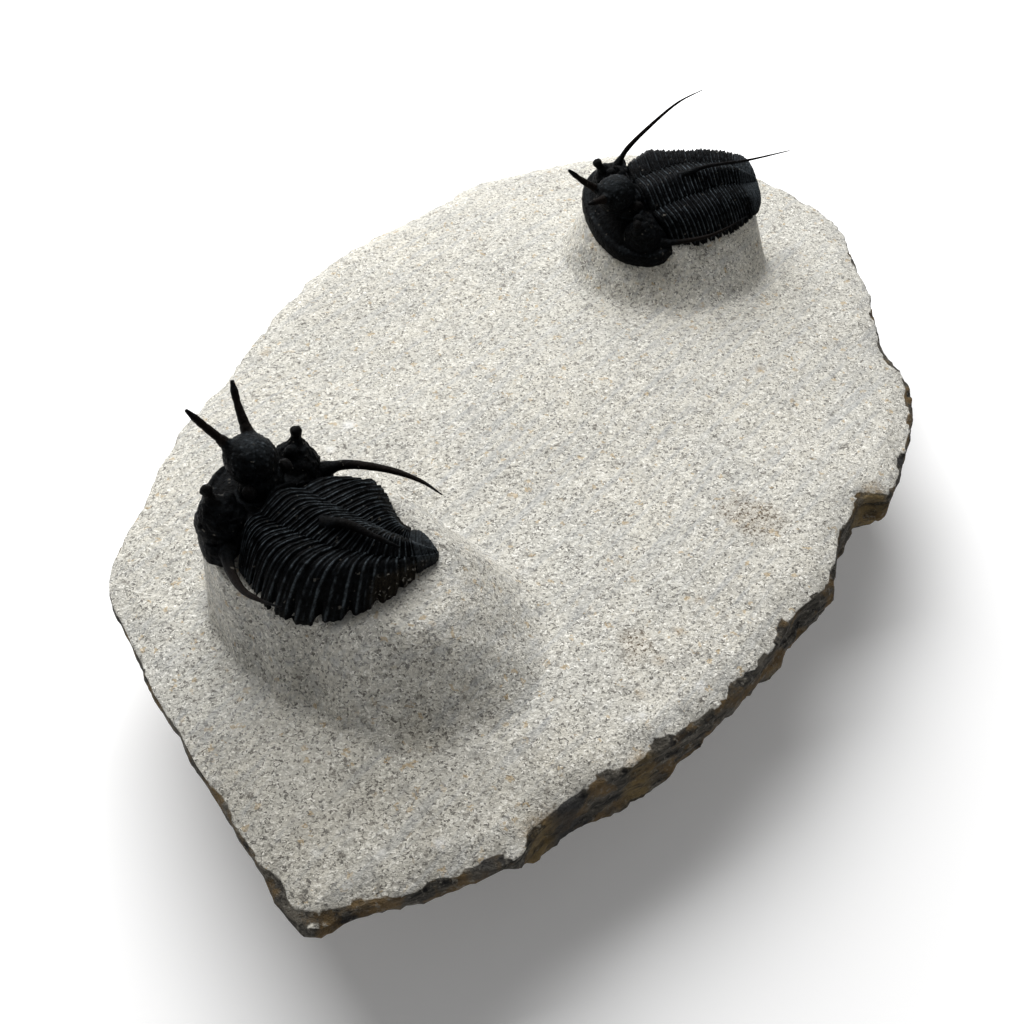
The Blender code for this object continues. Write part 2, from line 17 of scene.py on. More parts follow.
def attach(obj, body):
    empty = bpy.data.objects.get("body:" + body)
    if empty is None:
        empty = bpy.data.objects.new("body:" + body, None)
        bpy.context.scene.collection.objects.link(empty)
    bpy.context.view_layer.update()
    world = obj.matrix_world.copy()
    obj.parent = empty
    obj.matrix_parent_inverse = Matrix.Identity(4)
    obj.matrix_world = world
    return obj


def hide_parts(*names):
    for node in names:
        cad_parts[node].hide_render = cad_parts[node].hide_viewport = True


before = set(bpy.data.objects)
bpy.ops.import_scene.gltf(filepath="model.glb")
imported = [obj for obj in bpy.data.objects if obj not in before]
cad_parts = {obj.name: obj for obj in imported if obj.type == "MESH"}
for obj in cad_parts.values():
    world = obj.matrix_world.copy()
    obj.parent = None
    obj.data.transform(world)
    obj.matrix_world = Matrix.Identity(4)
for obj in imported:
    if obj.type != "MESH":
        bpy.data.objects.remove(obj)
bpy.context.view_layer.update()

MM = 0.001

# Camera, floor and light
CAMERA_AT = (-3.2, -92.52, 93.07)
CAMERA_DOWN = 45.0
LENS = 39.87
SENSOR = 36.0
FLOOR_SIZE = 3000.0
LAMP_AT = (-62.0, 165.0, 230.0)
LAMP_SIZE = 300.0
LAMP_POWER = 1.7
WORLD_STRENGTH = 0.18

# Slab
SLAB_THICK = 16.0
RIM_DROP = 0.6
RIM_WIDTH = 2.6
UNDULATION = 0.35
BASE_SCALE = 0.74
LEDGE_SCALE = 0.88
LEDGE_SHARE = 0.5
RIM_STEP = 0.45
GRID_STEP = 0.5
BREAK_ROWS = 18
UNDERCUT_ROWS = 22
RIM = [
    (-18.0, -56.5), (-14.1, -55.2), (-7.0, -52.8), (-2.8, -51.5), (-1.4, -49.5), (2.0, -46.2),
    (8.6, -41.6), (13.8, -37.8), (19.1, -32.2), (22.6, -27.3), (26.0, -24.6), (28.0, -18.5),
    (31.1, -13.6), (34.2, -12.6), (36.9, -6.6), (40.0, 1.4), (40.4, 6.1), (39.3, 12.3),
    (39.6, 21.8), (39.4, 34.6), (38.2, 39.9), (31.3, 48.5), (22.1, 55.2), (12.2, 57.5),
    (0.7, 53.4), (-8.9, 47.8), (-14.0, 41.0), (-24.7, 30.6), (-30.5, 19.2), (-34.9, 5.0),
    (-37.6, -3.5), (-39.1, -13.9), (-40.1, -23.1), (-36.4, -31.1), (-29.9, -40.7), (-22.9, -50.7),
]
# Height of the upright broken edge at compass angles around the slab, in degrees
BREAK_ANGLES = (
    -108, -101, -94, -91, -78, -74, -68, -61, -56, -50, -45, -40, -30, -24, -19, 90, 180, 252)
BREAK_HEIGHTS = (
    1.2, 2.2, 0.7, 4.6, 6.0, 4.0, 2.2, 2.8, 4.8, 4.6, 2.5, 3.2, 5.6, 5.4, 2.0, 2.0, 2.0, 1.2)
BOSS_STEPS = 12
BOSS_DIRECTIONS = 132
BOSS_RINGS = (0.15, 0.3, 0.45, 0.6, 0.72, 0.82, 0.9, 0.95)
BOSS_WALL_RINGS = 25
# Coloured marks on the stone: kind, place in plan and radius
MARKS = [
    ("ochre", 13.6, -26.6, 0.5), ("ochre", 11.4, -30.0, 0.5), ("ochre", 9.4, -33.2, 0.55),
    ("ochre", 7.4, -36.4, 0.5), ("ochre", -30.9, 10.2, 0.55), ("ochre", 5.0, 47.0, 0.5),
    ("ochre", 24.0, 6.6, 0.5), ("ochre", 20.3, -32.3, 1.0), ("ochre", 31.2, -15.8, 1.9),
    ("ochre", 32.4, -12.9, 1.9), ("ochre", -0.9, -48.5, 1.9), ("ochre", 7.3, -42.4, 1.6),
    ("brown", 19.3, -16.7, 3.3), ("brown", 7.4, -31.6, 1.8), ("dark", 1.5, -31.6, 0.55),
    ("dark", 38.8, 16.0, 0.8), ("dark", 39.1, 0.9, 0.6), ("dark", 36.6, -7.3, 1.0),
    ("dark", 1.0, -46.1, 2.4), ("dark", -5.7, -50.5, 2.0), ("pale", 12.6, -35.6, 0.5),
    ("pale", 7.6, -38.6, 0.6), ("pale", -20.1, -2.6, 0.8), ("pale", -21.7, -6.5, 0.55),
    ("pale", -12.7, -51.2, 0.5), ("pale", -17.6, -51.2, 0.5), ("pale", -8.6, -50.4, 0.5),
    ("pale", 6.4, -38.9, 0.5),
]

# Head
NECK_X = 2.8
HEAD_CENTRE = 3.6
HEAD_FRONT = 5.75
HEAD_HINGE = 2.0
BULB_AT = (6.4, 0.0, 4.7)
BULB_RADII = (2.25, 2.15, 2.15)
NAPE_AT = (5.0, 0.0, 2.9)
NAPE_RADII = (1.6, 2.2, 1.7)
BEAD_AT = (4.5, 2.1, 3.9)
BEAD_RADIUS = 0.62
LUMP_AT = (5.2, 3.8, 3.7)
LUMP_RADIUS = 0.66
EYE_FOOT = (4.9, 4.4, 1.4)
EYE_SHARES = (0.0, 0.15, 0.3, 0.42, 0.52, 0.6, 0.68, 0.75, 0.8, 0.85, 0.91, 0.97, 1.02, 1.06)
EYE_RADII = (2.2, 2.1, 1.85, 1.55, 1.25, 0.97, 0.7, 0.5, 0.42, 0.42, 0.49, 0.52, 0.42, 0.14)
HORN_STEPS = 30
HORN_SHARES = (0.0, 0.15, 0.5, 0.85, 1.0)
HORN_RADII = (0.62, 0.46, 0.38, 0.31, 0.14)
# The thick root that melts a horn into the head: steps along the horn and radii
ROOT_STEPS = (0, 4, 7, 10, 13)
ROOT_RADII = (1.3, 1.1, 0.72, 0.52, 0.42)
CHEEK_STEPS = 44
CHEEK_SHARES = (0.0, 0.15, 0.35, 1.0)
HEAD_DIRECTIONS = 180
HEAD_VOXEL = 0.085
HEAD_LOW = -0.35

# Thorax and tail
SEGMENTS = 12
SEGMENT_ROWS = 24
PITCH_FRONT = 1.22
PITCH_REAR = 0.78
TAIL_LENGTH = 2.3
TOOTH = 0.24
SWEEP = 0.9
SPINE_STEPS = 40
SPINE_SHARES = (0.0, 0.12, 0.3, 1.0)
EDGE_HEIGHT = 0.35
RELIEF = 0.15
THORAX_LENGTH = SEGMENTS * (PITCH_FRONT + PITCH_REAR) / 2
BODY_LENGTH = THORAX_LENGTH + TAIL_LENGTH
BEND_POWER = 1.5
WIDTH_STATIONS = (0.0, 1.4, 3.2, 6.0, 8.5, 10.5, 12.0)
HALF_WIDTHS = (5.6, 6.1, 6.7, 6.6, 6.0, 5.2, 4.4)
CREST_STATIONS = (0.0, 2.0, 5.0, 8.5, 11.0, 12.0, 14.3)
CREST_HEIGHTS = (4.0, 4.3, 4.5, 4.1, 3.3, 2.8, 0.9)
LOBE_STATIONS = (0.0, 6.0, 12.0, 14.3)
LOBE_WIDTHS = (2.55, 2.3, 1.15, 0.3)
WEAR_STATIONS = (0.0, 3.0, 5.0, 7.0, 9.0, 11.0, 13.0)
PLEURA_BEND = 4.2
BODY_LOW = -0.5
GAP_LOW = -0.35
# Shares across half a row: over the middle lobe, then down the flank, close together at its margin
LOBE_SHARES = np.sin(np.linspace(0.0, math.pi / 2, 19))
PLEURA_SHARES = np.concatenate([
    np.linspace(0.0, 0.12, 6)[1:], np.linspace(0.145, 0.8, 30), np.linspace(0.815, 1.0, 14)])

SPECIMENS = {
    "front": dict(
        place=(-20.35, -27.25, 8.8), heading=145.0, nose_up=9.5, roll=-2.0, size=1.0,
        bend=62.0, lean=0.3, slant=3.3, painted_flank_shade=0.0,
        spine_radii=(0.9, 0.52, 0.4, 0.12), cheek_radii=(0.92, 0.52, 0.36, 0.06),
        rib_width=1.0, rim=0.3, head_tilt=8.0, head_roll=6.5,
        brow=1.6, cheek_left=7.0, cheek_right=6.9, corner_left=(2.3, 6.35), corner_right=(1.9, 6.4),
        worn_left=(0.0, -0.3, -0.6, 0.2, 1.6, 2.7, 3.5),
        worn_right=(-1.0, -1.1, -0.7, -0.1, 0.8, 1.6, 1.4),
        eye_left=(6.4, 5.3, 5.4), eye_right=(6.1, -5.1, 4.9),
        seat=(11.0, 9.0, 6.8, 7.6, 8.2, 8.4, 8.3, 7.6, 6.6, 7.0, 9.5, 13.5),
        foot=(20.0, 16.0, 13.0, 12.0, 12.0, 12.0, 9.8, 8.8, 9.2, 11.4, 17.5, 21.5),
        horn_left=[(7.4, 0.7, 5.1), (8.4, 1.05, 5.75), (10.0, 1.75, 6.8), (11.4, 2.6, 8.2)],
        horn_right=[(7.3, -0.9, 5.1), (8.2, -1.3, 5.6), (10.0, -1.9, 6.9), (11.4, -2.5, 8.2)],
        back_spine=[(-2.3, 0.2, 4.0), (-3.9, -0.4, 4.9), (-6.0, -1.1, 4.5), (-8.2, -2.0, 3.8)],
        cheek_spine_left=[(3.3, 5.6, 1.0), (1.3, 7.3, 1.6), (-1.0, 8.6, 2.7), (-3.0, 9.1, 4.0),
            (-5.1, 9.2, 5.4)],
        cheek_spine_right=[(3.4, -5.8, 1.2), (1.5, -6.9, 3.0), (-2.0, -7.4, 5.2), (-5.0, -7.6, 6.4),
            (-7.4, -7.2, 7.2)],
    ),
    "back": dict(
        place=(14.9, 29.15, 7.3), heading=200.0, nose_up=-9.0, roll=-16.5, size=1.01,
        bend=-14.0, lean=0.0, slant=0.0, painted_flank_shade=0.5,
        spine_radii=(0.7, 0.38, 0.25, 0.05), cheek_radii=(0.8, 0.34, 0.24, 0.05),
        rib_width=1.3, rim=0.2, head_tilt=0.0, head_roll=0.0,
        brow=2.25, cheek_left=7.7, cheek_right=7.9, corner_left=(2.5, 7.1), corner_right=(1.7, 7.5),
        worn_left=(0.0, 0.0, 0.0, 0.0, 0.0, 0.0, 0.0),
        worn_right=(-1.0, -1.1, 0.3, 0.8, 0.4, 0.0, -0.2),
        eye_left=(6.1, 5.1, 4.9), eye_right=(6.5, -5.1, 4.9),
        seat=(10.2, 9.6, 7.2, 6.0, 6.3, 8.2, 8.5, 8.5, 8.0, 6.6, 6.2, 8.0),
        foot=(13.6, 13.0, 12.0, 12.0, 12.6, 12.6, 12.0, 11.6, 12.0, 11.8, 12.0, 12.8),
        horn_left=[(7.4, 0.7, 5.1), (8.4, 1.05, 5.75), (9.6, 1.7, 6.6), (10.8, 2.5, 7.6)],
        horn_right=[(7.4, -0.7, 5.0), (8.4, -1.05, 5.45), (9.8, -1.8, 6.6), (11.1, -2.6, 8.0)],
        back_spine=[(-1.5, 0.1, 4.0), (-4.5, 0.8, 5.1), (-9.0, 2.1, 5.4), (-13.6, 3.4, 6.2)],
        cheek_spine_left=[(3.5, 5.8, 1.0), (1.3, 7.2, 1.9), (-1.2, 8.5, 3.0), (-3.2, 9.1, 4.1),
            (-5.3, 9.5, 5.5)],
        cheek_spine_right=[(3.6, -6.2, 1.2), (1.6, -7.1, 3.1), (-2.0, -7.6, 5.4), (-5.0, -7.8, 7.0),
            (-7.7, -7.4, 8.1)],
    ),
}


# Numbers

def smooth_step(x):
    """A smooth rise from 0 at 0 to 1 at 1, and flat beyond both."""
    x = np.clip(x, 0.0, 1.0)
    return x * x * (3.0 - 2.0 * x)


def bump(x, middle, width):
    """A smooth hump of height 1, gone at the given width either side of its middle."""
    return smooth_step(1.0 - np.abs(x - middle) / width)


def random_at(cells, seed):
    """Repeatable numbers from 0 to 1, one for each whole-number cell."""
    c = cells.astype(np.int64).astype(np.uint32)
    n = c[..., 0] * np.uint32(0x8DA6B343) + c[..., 1] * np.uint32(0xD8163841)
    n = n + c[..., 2] * np.uint32(0xCB1AB31F) + np.uint32(seed * 2654435 % 4294967296)
    n ^= n >> np.uint32(15)
    n = n * np.uint32(0x2C1B3C6D)
    n ^= n >> np.uint32(12)
    n = n * np.uint32(0x297A2D39)
    n ^= n >> np.uint32(15)
    return n / 4294967295.0


def noise(points, size, seed, octaves=3):
    """Smooth noise from about -1 to 1, with lumps of the given size."""
    total = np.zeros(len(points))
    weight = 1.0
    weights = 0.0
    for octave in range(octaves):
        p = points * (2.0 ** octave / size) + 31.7 * octave
        cell = np.floor(p)
        t = smooth_step(p - cell)
        value = np.zeros(len(points))
        for corner in itertools.product((0, 1), repeat=3):
            share = np.prod(np.where(corner, t, 1.0 - t), axis=1)
            value += share * random_at(cell + corner, seed + octave)
        total += weight * (2.0 * value - 1.0)
        weights += weight
        weight *= 0.55
    return total * 1.6 / weights


def nearest_spot(points, size, seed):
    """Distance to the nearest of many scattered spots, in their spacing, and its own number."""
    p = points / size
    cell = np.floor(p)
    best = np.full(len(points), 9.0)
    number = np.zeros(len(points))
    for corner in itertools.product((-1, 0, 1), repeat=3):
        at = cell + corner
        spot = at + np.stack([random_at(at, seed + k) for k in range(3)], axis=1)
        away = np.linalg.norm(p - spot, axis=1)
        closer = away < best
        best[closer] = away[closer]
        number[closer] = random_at(at, seed + 3)[closer]
    return best, number


def curve_through(points, count, closed=False):
    """Points at even parameters along a Catmull-Rom curve through the given ones."""
    p = np.asarray(points, float)
    if closed:
        p = np.vstack([p[-1:], p, p[:2]])
    else:
        p = np.vstack([2 * p[0] - p[1], p, 2 * p[-1] - p[-2]])
    spans = len(p) - 3
    out = []
    for u in np.linspace(0.0, spans, count, endpoint=not closed):
        i = min(int(u), spans - 1)
        t = u - i
        a, b, c, d = p[i:i + 4]
        out.append(0.5 * (2 * b + (c - a) * t + (2 * a - 5 * b + 4 * c - d) * t * t
                          + (3 * b - 3 * c + d - a) * t ** 3))
    return np.array(out)


def to_the_left(loop):
    """Unit vectors square to a closed line at each point, on its left."""
    along = np.roll(loop, -1, axis=0) - np.roll(loop, 1, axis=0)
    left = np.stack([-along[:, 1], along[:, 0]], axis=1)
    return left / np.linalg.norm(left, axis=1)[:, None]


def even_steps(points, step):
    """Points at even distances along a closed line."""
    loop = np.vstack([points, points[:1]])
    run = np.concatenate([[0.0], np.cumsum(np.linalg.norm(np.diff(loop, axis=0), axis=1))])
    count = int(round(run[-1] / step))
    at = np.arange(count) * run[-1] / count
    return np.stack([np.interp(at, run, loop[:, k]) for k in range(2)], axis=1)


# Meshes

def bridge(rings, faces, closed=True):
    """Quads between neighbouring rings of vertex numbers."""
    for low, high in zip(rings[:-1], rings[1:]):
        count = len(low)
        for i in range(count if closed else count - 1):
            j = (i + 1) % count
            faces.append((low[i], low[j], high[j], high[i]))


def grid_shape(rows, closed=True):
    """Points and faces of a closed solid skinned over rows of points, capped at both ends."""
    across = len(rows[0])
    points = np.vstack(rows)
    rings = [[r * across + i for i in range(across)] for r in range(len(rows))]
    faces = []
    bridge(rings, faces, closed)
    faces.append(tuple(reversed(rings[0])))
    faces.append(tuple(rings[-1]))
    return points, faces


def tube(path, radii, sides=14):
    """A closed round tube along a path."""
    path = np.asarray(path)
    rows = []
    side = None
    for i, centre in enumerate(path):
        ahead = path[min(i + 1, len(path) - 1)] - path[max(i - 1, 0)]
        ahead = ahead / np.linalg.norm(ahead)
        if side is None:
            side = np.cross(ahead, (0.0, 0.0, 1.0))
        side = side - ahead * np.dot(side, ahead)
        side = side / np.linalg.norm(side)
        other = np.cross(ahead, side)
        turns = (2 * math.pi * np.arange(sides) / sides)[:, None]
        rows.append(centre + radii[i] * (np.cos(turns) * side + np.sin(turns) * other))
    return grid_shape(rows)


def ball(centre, radii, around=40, rows=24):
    """A closed ellipsoid."""
    points = [(0.0, 0.0, 1.0)]
    for r in range(1, rows):
        out, up = math.sin(math.pi * r / rows), math.cos(math.pi * r / rows)
        for k in range(around):
            turn = 2 * math.pi * k / around
            points.append((out * math.cos(turn), out * math.sin(turn), up))
    points.append((0.0, 0.0, -1.0))
    rings = [[1 + r * around + k for k in range(around)] for r in range(rows - 1)]
    faces = []
    for k in range(around):
        j = (k + 1) % around
        faces.append((0, rings[0][k], rings[0][j]))
        faces.append((len(points) - 1, rings[-1][j], rings[-1][k]))
    bridge(rings[::-1], faces)
    return np.array(points) * radii + centre, faces


def joined(shapes):
    """Several shapes' points and faces as one list of each."""
    points, faces = [], []
    for shape_points, shape_faces in shapes:
        start = len(points)
        points.extend(np.asarray(shape_points).tolist())
        faces.extend(tuple(start + i for i in face) for face in shape_faces)
    return np.array(points), faces


def scratch_object(shape):
    """An object for modifiers to work on, made from points and faces."""
    mesh = bpy.data.meshes.new("scratch")
    mesh.from_pydata(np.asarray(shape[0]).tolist(), [], shape[1])
    made = bpy.data.objects.new("scratch", mesh)
    bpy.context.scene.collection.objects.link(made)
    return made


def read_back(made):
    """A scratch object's changed mesh as points, faces and normals. The object is removed."""
    seen = made.evaluated_get(bpy.context.evaluated_depsgraph_get())
    mesh = seen.to_mesh()
    points = np.zeros(len(mesh.vertices) * 3)
    normals = np.zeros(len(mesh.vertices) * 3)
    mesh.vertices.foreach_get("co", points)
    mesh.vertices.foreach_get("normal", normals)
    faces = [tuple(p.vertices) for p in mesh.polygons]
    seen.to_mesh_clear()
    bpy.data.objects.remove(made, do_unlink=True)
    return points.reshape(-1, 3), faces, normals.reshape(-1, 3)


def melted(shapes, voxel, soften):
    """Closed shapes melted into one skin of even small quads, its sharp corners softened."""
    made = scratch_object(joined(shapes))
    remesh = made.modifiers.new("remesh", "REMESH")
    remesh.mode = "VOXEL"
    remesh.voxel_size = voxel
    smooth = made.modifiers.new("smooth", "SMOOTH")
    smooth.factor = 0.5
    smooth.iterations = soften
    return read_back(made)


def united(body, pieces):
    """Closed pieces joined to a body by Boolean unions."""
    made = scratch_object(body)
    others = []
    for piece in pieces:
        other = scratch_object(piece)
        join = made.modifiers.new("join", "BOOLEAN")
        join.operation = "UNION"
        join.solver = "MANIFOLD"
        join.object = other
        others.append(other)
    result = read_back(made)
    for other in others:
        bpy.data.objects.remove(other, do_unlink=True)
    return result


def new_piece(name, points, faces, finish, stands_for, values):
    """A finished piece from points in millimetres, with a number on each point for its material."""
    mesh = bpy.data.meshes.new(name)
    mesh.from_pydata((np.asarray(points) * MM).tolist(), [], faces)
    for key, numbers in values.items():
        layer = mesh.attributes.new(key, "FLOAT", "POINT")
        layer.data.foreach_set("value", np.asarray(numbers, np.float32))
    mesh.materials.append(finish)
    mesh.shade_smooth()
    made = bpy.data.objects.new(name, mesh)
    bpy.context.scene.collection.objects.link(made)
    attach(made, "root")
    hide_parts(stands_for)
    return made


# Slab

def seat_matrix(spec):
    """Places a trilobite's own frame in the slab's frame."""
    at = Vector(spec["place"]) + Vector((0.0, 0.0, SLAB_THICK))
    return (Matrix.Translation(at)
            @ Matrix.Rotation(math.radians(spec["heading"]), 4, "Z")
            @ Matrix.Rotation(math.radians(-spec["nose_up"]), 4, "Y")
            @ Matrix.Rotation(math.radians(spec["roll"]), 4, "X"))


def head_matrix(spec):
    """Turns the head from the body's frame to the way it is held."""
    hinge = Matrix.Translation((NECK_X, 0.0, HEAD_HINGE))
    tilt = Matrix.Rotation(math.radians(-spec["head_tilt"]), 4, "Y")
    roll = Matrix.Rotation(math.radians(spec["head_roll"]), 4, "X")
    return hinge @ tilt @ roll @ hinge.inverted()


def moved(matrix, points):
    """Points carried by a 4 by 4 matrix."""
    m = np.array(matrix)
    return np.asarray(points) @ m[:3, :3].T + m[:3, 3]


def plane_height(matrix, x, y, z=0.0):
    """Height over x, y of the plane Z = z of a frame."""
    up = matrix.to_3x3() @ Vector((0.0, 0.0, 1.0))
    at = matrix @ Vector((NECK_X, 0.0, z))
    return at.z + (up.x * (at.x - x) + up.y * (at.y - y)) / up.z


def around_boss(radii, turn):
    """A boss's radius in a direction, smooth between its twelve stated radii."""
    table = np.asarray(radii)
    u = np.asarray(turn) * BOSS_STEPS / (2 * math.pi)
    i = np.floor(u).astype(int)
    t = smooth_step(u - i)
    return table[i % BOSS_STEPS] * (1 - t) + table[(i + 1) % BOSS_STEPS] * t


def slab_top(x, y, rim_distance):
    """Height of the worked top with both bosses, and how far each point is on a boss's wall."""
    wave = np.sin(0.11 * x + 0.07 * y) + 0.6 * np.sin(0.19 * y - 0.09 * x + 1.0)
    plain = SLAB_THICK + UNDULATION * wave
    plain = plain - RIM_DROP * smooth_step(1.0 - rim_distance / RIM_WIDTH)
    height = plain
    wall = np.zeros(len(x))
    for spec in SPECIMENS.values():
        body = seat_matrix(spec)
        head = body @ head_matrix(spec)
        at = body.to_translation()
        ahead = body.to_3x3() @ Vector((1.0, 0.0, 0.0))
        forward = (x - at.x) * ahead.x + (y - at.y) * ahead.y
        share = smooth_step((forward - NECK_X + 1.0) / 2.0)
        seat = plane_height(body, x, y) * (1 - share) + plane_height(head, x, y) * share
        turn = np.arctan2(y - at.y, x - at.x)
        reach = np.hypot(x - at.x, y - at.y)
        inner = around_boss(spec["seat"], turn)
        outer = around_boss(spec["foot"], turn)
        down = np.clip((reach - inner) / (outer - inner), 0.0, 1.0)
        rise = 0.6 * (1.0 - smooth_step(down)) + 0.4 * (1.0 - down)
        height = height + (seat - plain) * rise
        wall = wall + 4.0 * rise * (1.0 - rise)
    return height, wall


def boss_points(spec):
    """Points of a boss in plan: a web on the seat, down its wall and around its foot."""
    centre = np.array(spec["place"][:2])
    wall = 1.0 + np.linspace(0.0, 1.0, BOSS_WALL_RINGS)
    points = [centre[None, :]]
    for k, share in enumerate((*BOSS_RINGS, *wall)):
        shift = 0.5 * (k % 2)
        turns = 2 * math.pi * (np.arange(BOSS_DIRECTIONS) + shift) / BOSS_DIRECTIONS
        inner = around_boss(spec["seat"], turns)
        outer = around_boss(spec["foot"], turns)
        reach = inner * share if share < 1.0 else inner + (outer - inner) * (share - 1.0)
        points.append(centre + np.stack([np.cos(turns), np.sin(turns)], axis=1) * reach[:, None])
    return np.vstack(points)


def distance_to_line(points, loop):
    """Shortest distance from each point to a closed line."""
    ends = np.roll(loop, -1, axis=0)
    along = ends - loop
    best = np.full(len(points), 1e9)
    for start, step in zip(loop, along):
        t = np.clip((points - start) @ step / (step @ step), 0.0, 1.0)
        best = np.minimum(best, np.linalg.norm(points - start - t[:, None] * step, axis=1))
    return best


def inside_loop(points, loop):
    """True for points inside a closed line, by counting crossings."""
    x, y = points[:, 0], points[:, 1]
    hits = np.zeros(len(points), int)
    for (ax, ay), (bx, by) in zip(loop, np.roll(loop, -1, axis=0)):
        if ay == by:
            continue
        crosses = (ay > y) != (by > y)
        hits += crosses & (x < ax + (bx - ax) * (y - ay) / (by - ay))
    return hits % 2 == 1


def slab_grid(rim, coarse):
    """Points inside the slab's outline: a fine net, rings along the rim and a web on each boss."""
    xs = np.arange(-42.0, 42.0, GRID_STEP)
    ys = np.arange(-58.5, 58.5, GRID_STEP * 0.87)
    grid = np.array([(x + GRID_STEP / 2 * (row % 2), y) for row, y in enumerate(ys) for x in xs])
    grid = grid[inside_loop(grid, coarse)]
    grid = grid[distance_to_line(grid, coarse) > 1.3]
    for spec in SPECIMENS.values():
        offset = grid - np.array(spec["place"][:2])
        turn = np.arctan2(offset[:, 1], offset[:, 0])
        grid = grid[np.hypot(offset[:, 0], offset[:, 1]) > around_boss(spec["foot"], turn) + 0.3]
    inward = to_the_left(rim)
    rings = [rim + inward * step for step in (0.3, 0.65, 1.05)]
    webs = [boss_points(spec) for spec in SPECIMENS.values()]
    inner = np.vstack([grid] + rings + webs)
    inner = inner[inside_loop(inner, coarse)]
    return inner[distance_to_line(inner, coarse) > 0.2]


def wall_row(row, top_height, drop):
    """Scale in plan, height and roughness of one row of points down the slab's side."""
    if row <= BREAK_ROWS:
        share = row / BREAK_ROWS
        scale = 1.0 + 0.006 * math.sin(math.pi * share)
        return scale, top_height - drop * share, min(1.0, 3.0 * share)
    share = (row - BREAK_ROWS) / UNDERCUT_ROWS
    below = top_height - drop
    depth = min(1.0, 4.0 * (1.0 - share))
    if share < LEDGE_SHARE:
        down = share / LEDGE_SHARE
        return 1.0 + (LEDGE_SCALE - 1.0) * down, below * (1.0 - 0.3 * down), depth
    down = (share - LEDGE_SHARE) / (1.0 - LEDGE_SHARE)
    return LEDGE_SCALE + (BASE_SCALE - LEDGE_SCALE) * down, below * 0.7 * (1.0 - down), depth


def mark_shares(points, side):
    """How strongly each kind of mark colours each point, and how much painted shade darkens the stone
    at the slab's front and around the front boss's crease.
    """
    spot = points * (1.0, 1.0, 0.6)
    edge = 1.0 + 0.45 * noise(spot, 1.6, 46, 3)
    values = {}
    for kind in ("ochre", "dark", "pale", "brown"):
        share = np.zeros(len(points))
        for mark, x, y, radius in MARKS:
            if mark == kind:
                off = np.hypot(spot[:, 0] - x, spot[:, 1] - y) / (radius * edge)
                share = np.maximum(share, 1.0 - smooth_step((off - 0.35) / 0.85))
        values[kind] = share * (1.0 - smooth_step(side * 6.0))
    # Painted shade: darker towards the slab's front, and around the crease at the near foot of the
    # front boss.
    front = smooth_step((-36.0 - spot[:, 1]) / 12.0) * smooth_step((9.0 - spot[:, 0]) / 8.0)
    front = 0.75 * front * (0.8 + 0.3 * noise(spot, 5.0, 47, 2))
    from_crease = np.hypot(spot[:, 0] + 10.5, (spot[:, 1] + 41.6) * 1.4)
    values["painted_shade"] = np.maximum(front, 1.0 - smooth_step(from_crease / (5.5 * edge)))
    return values


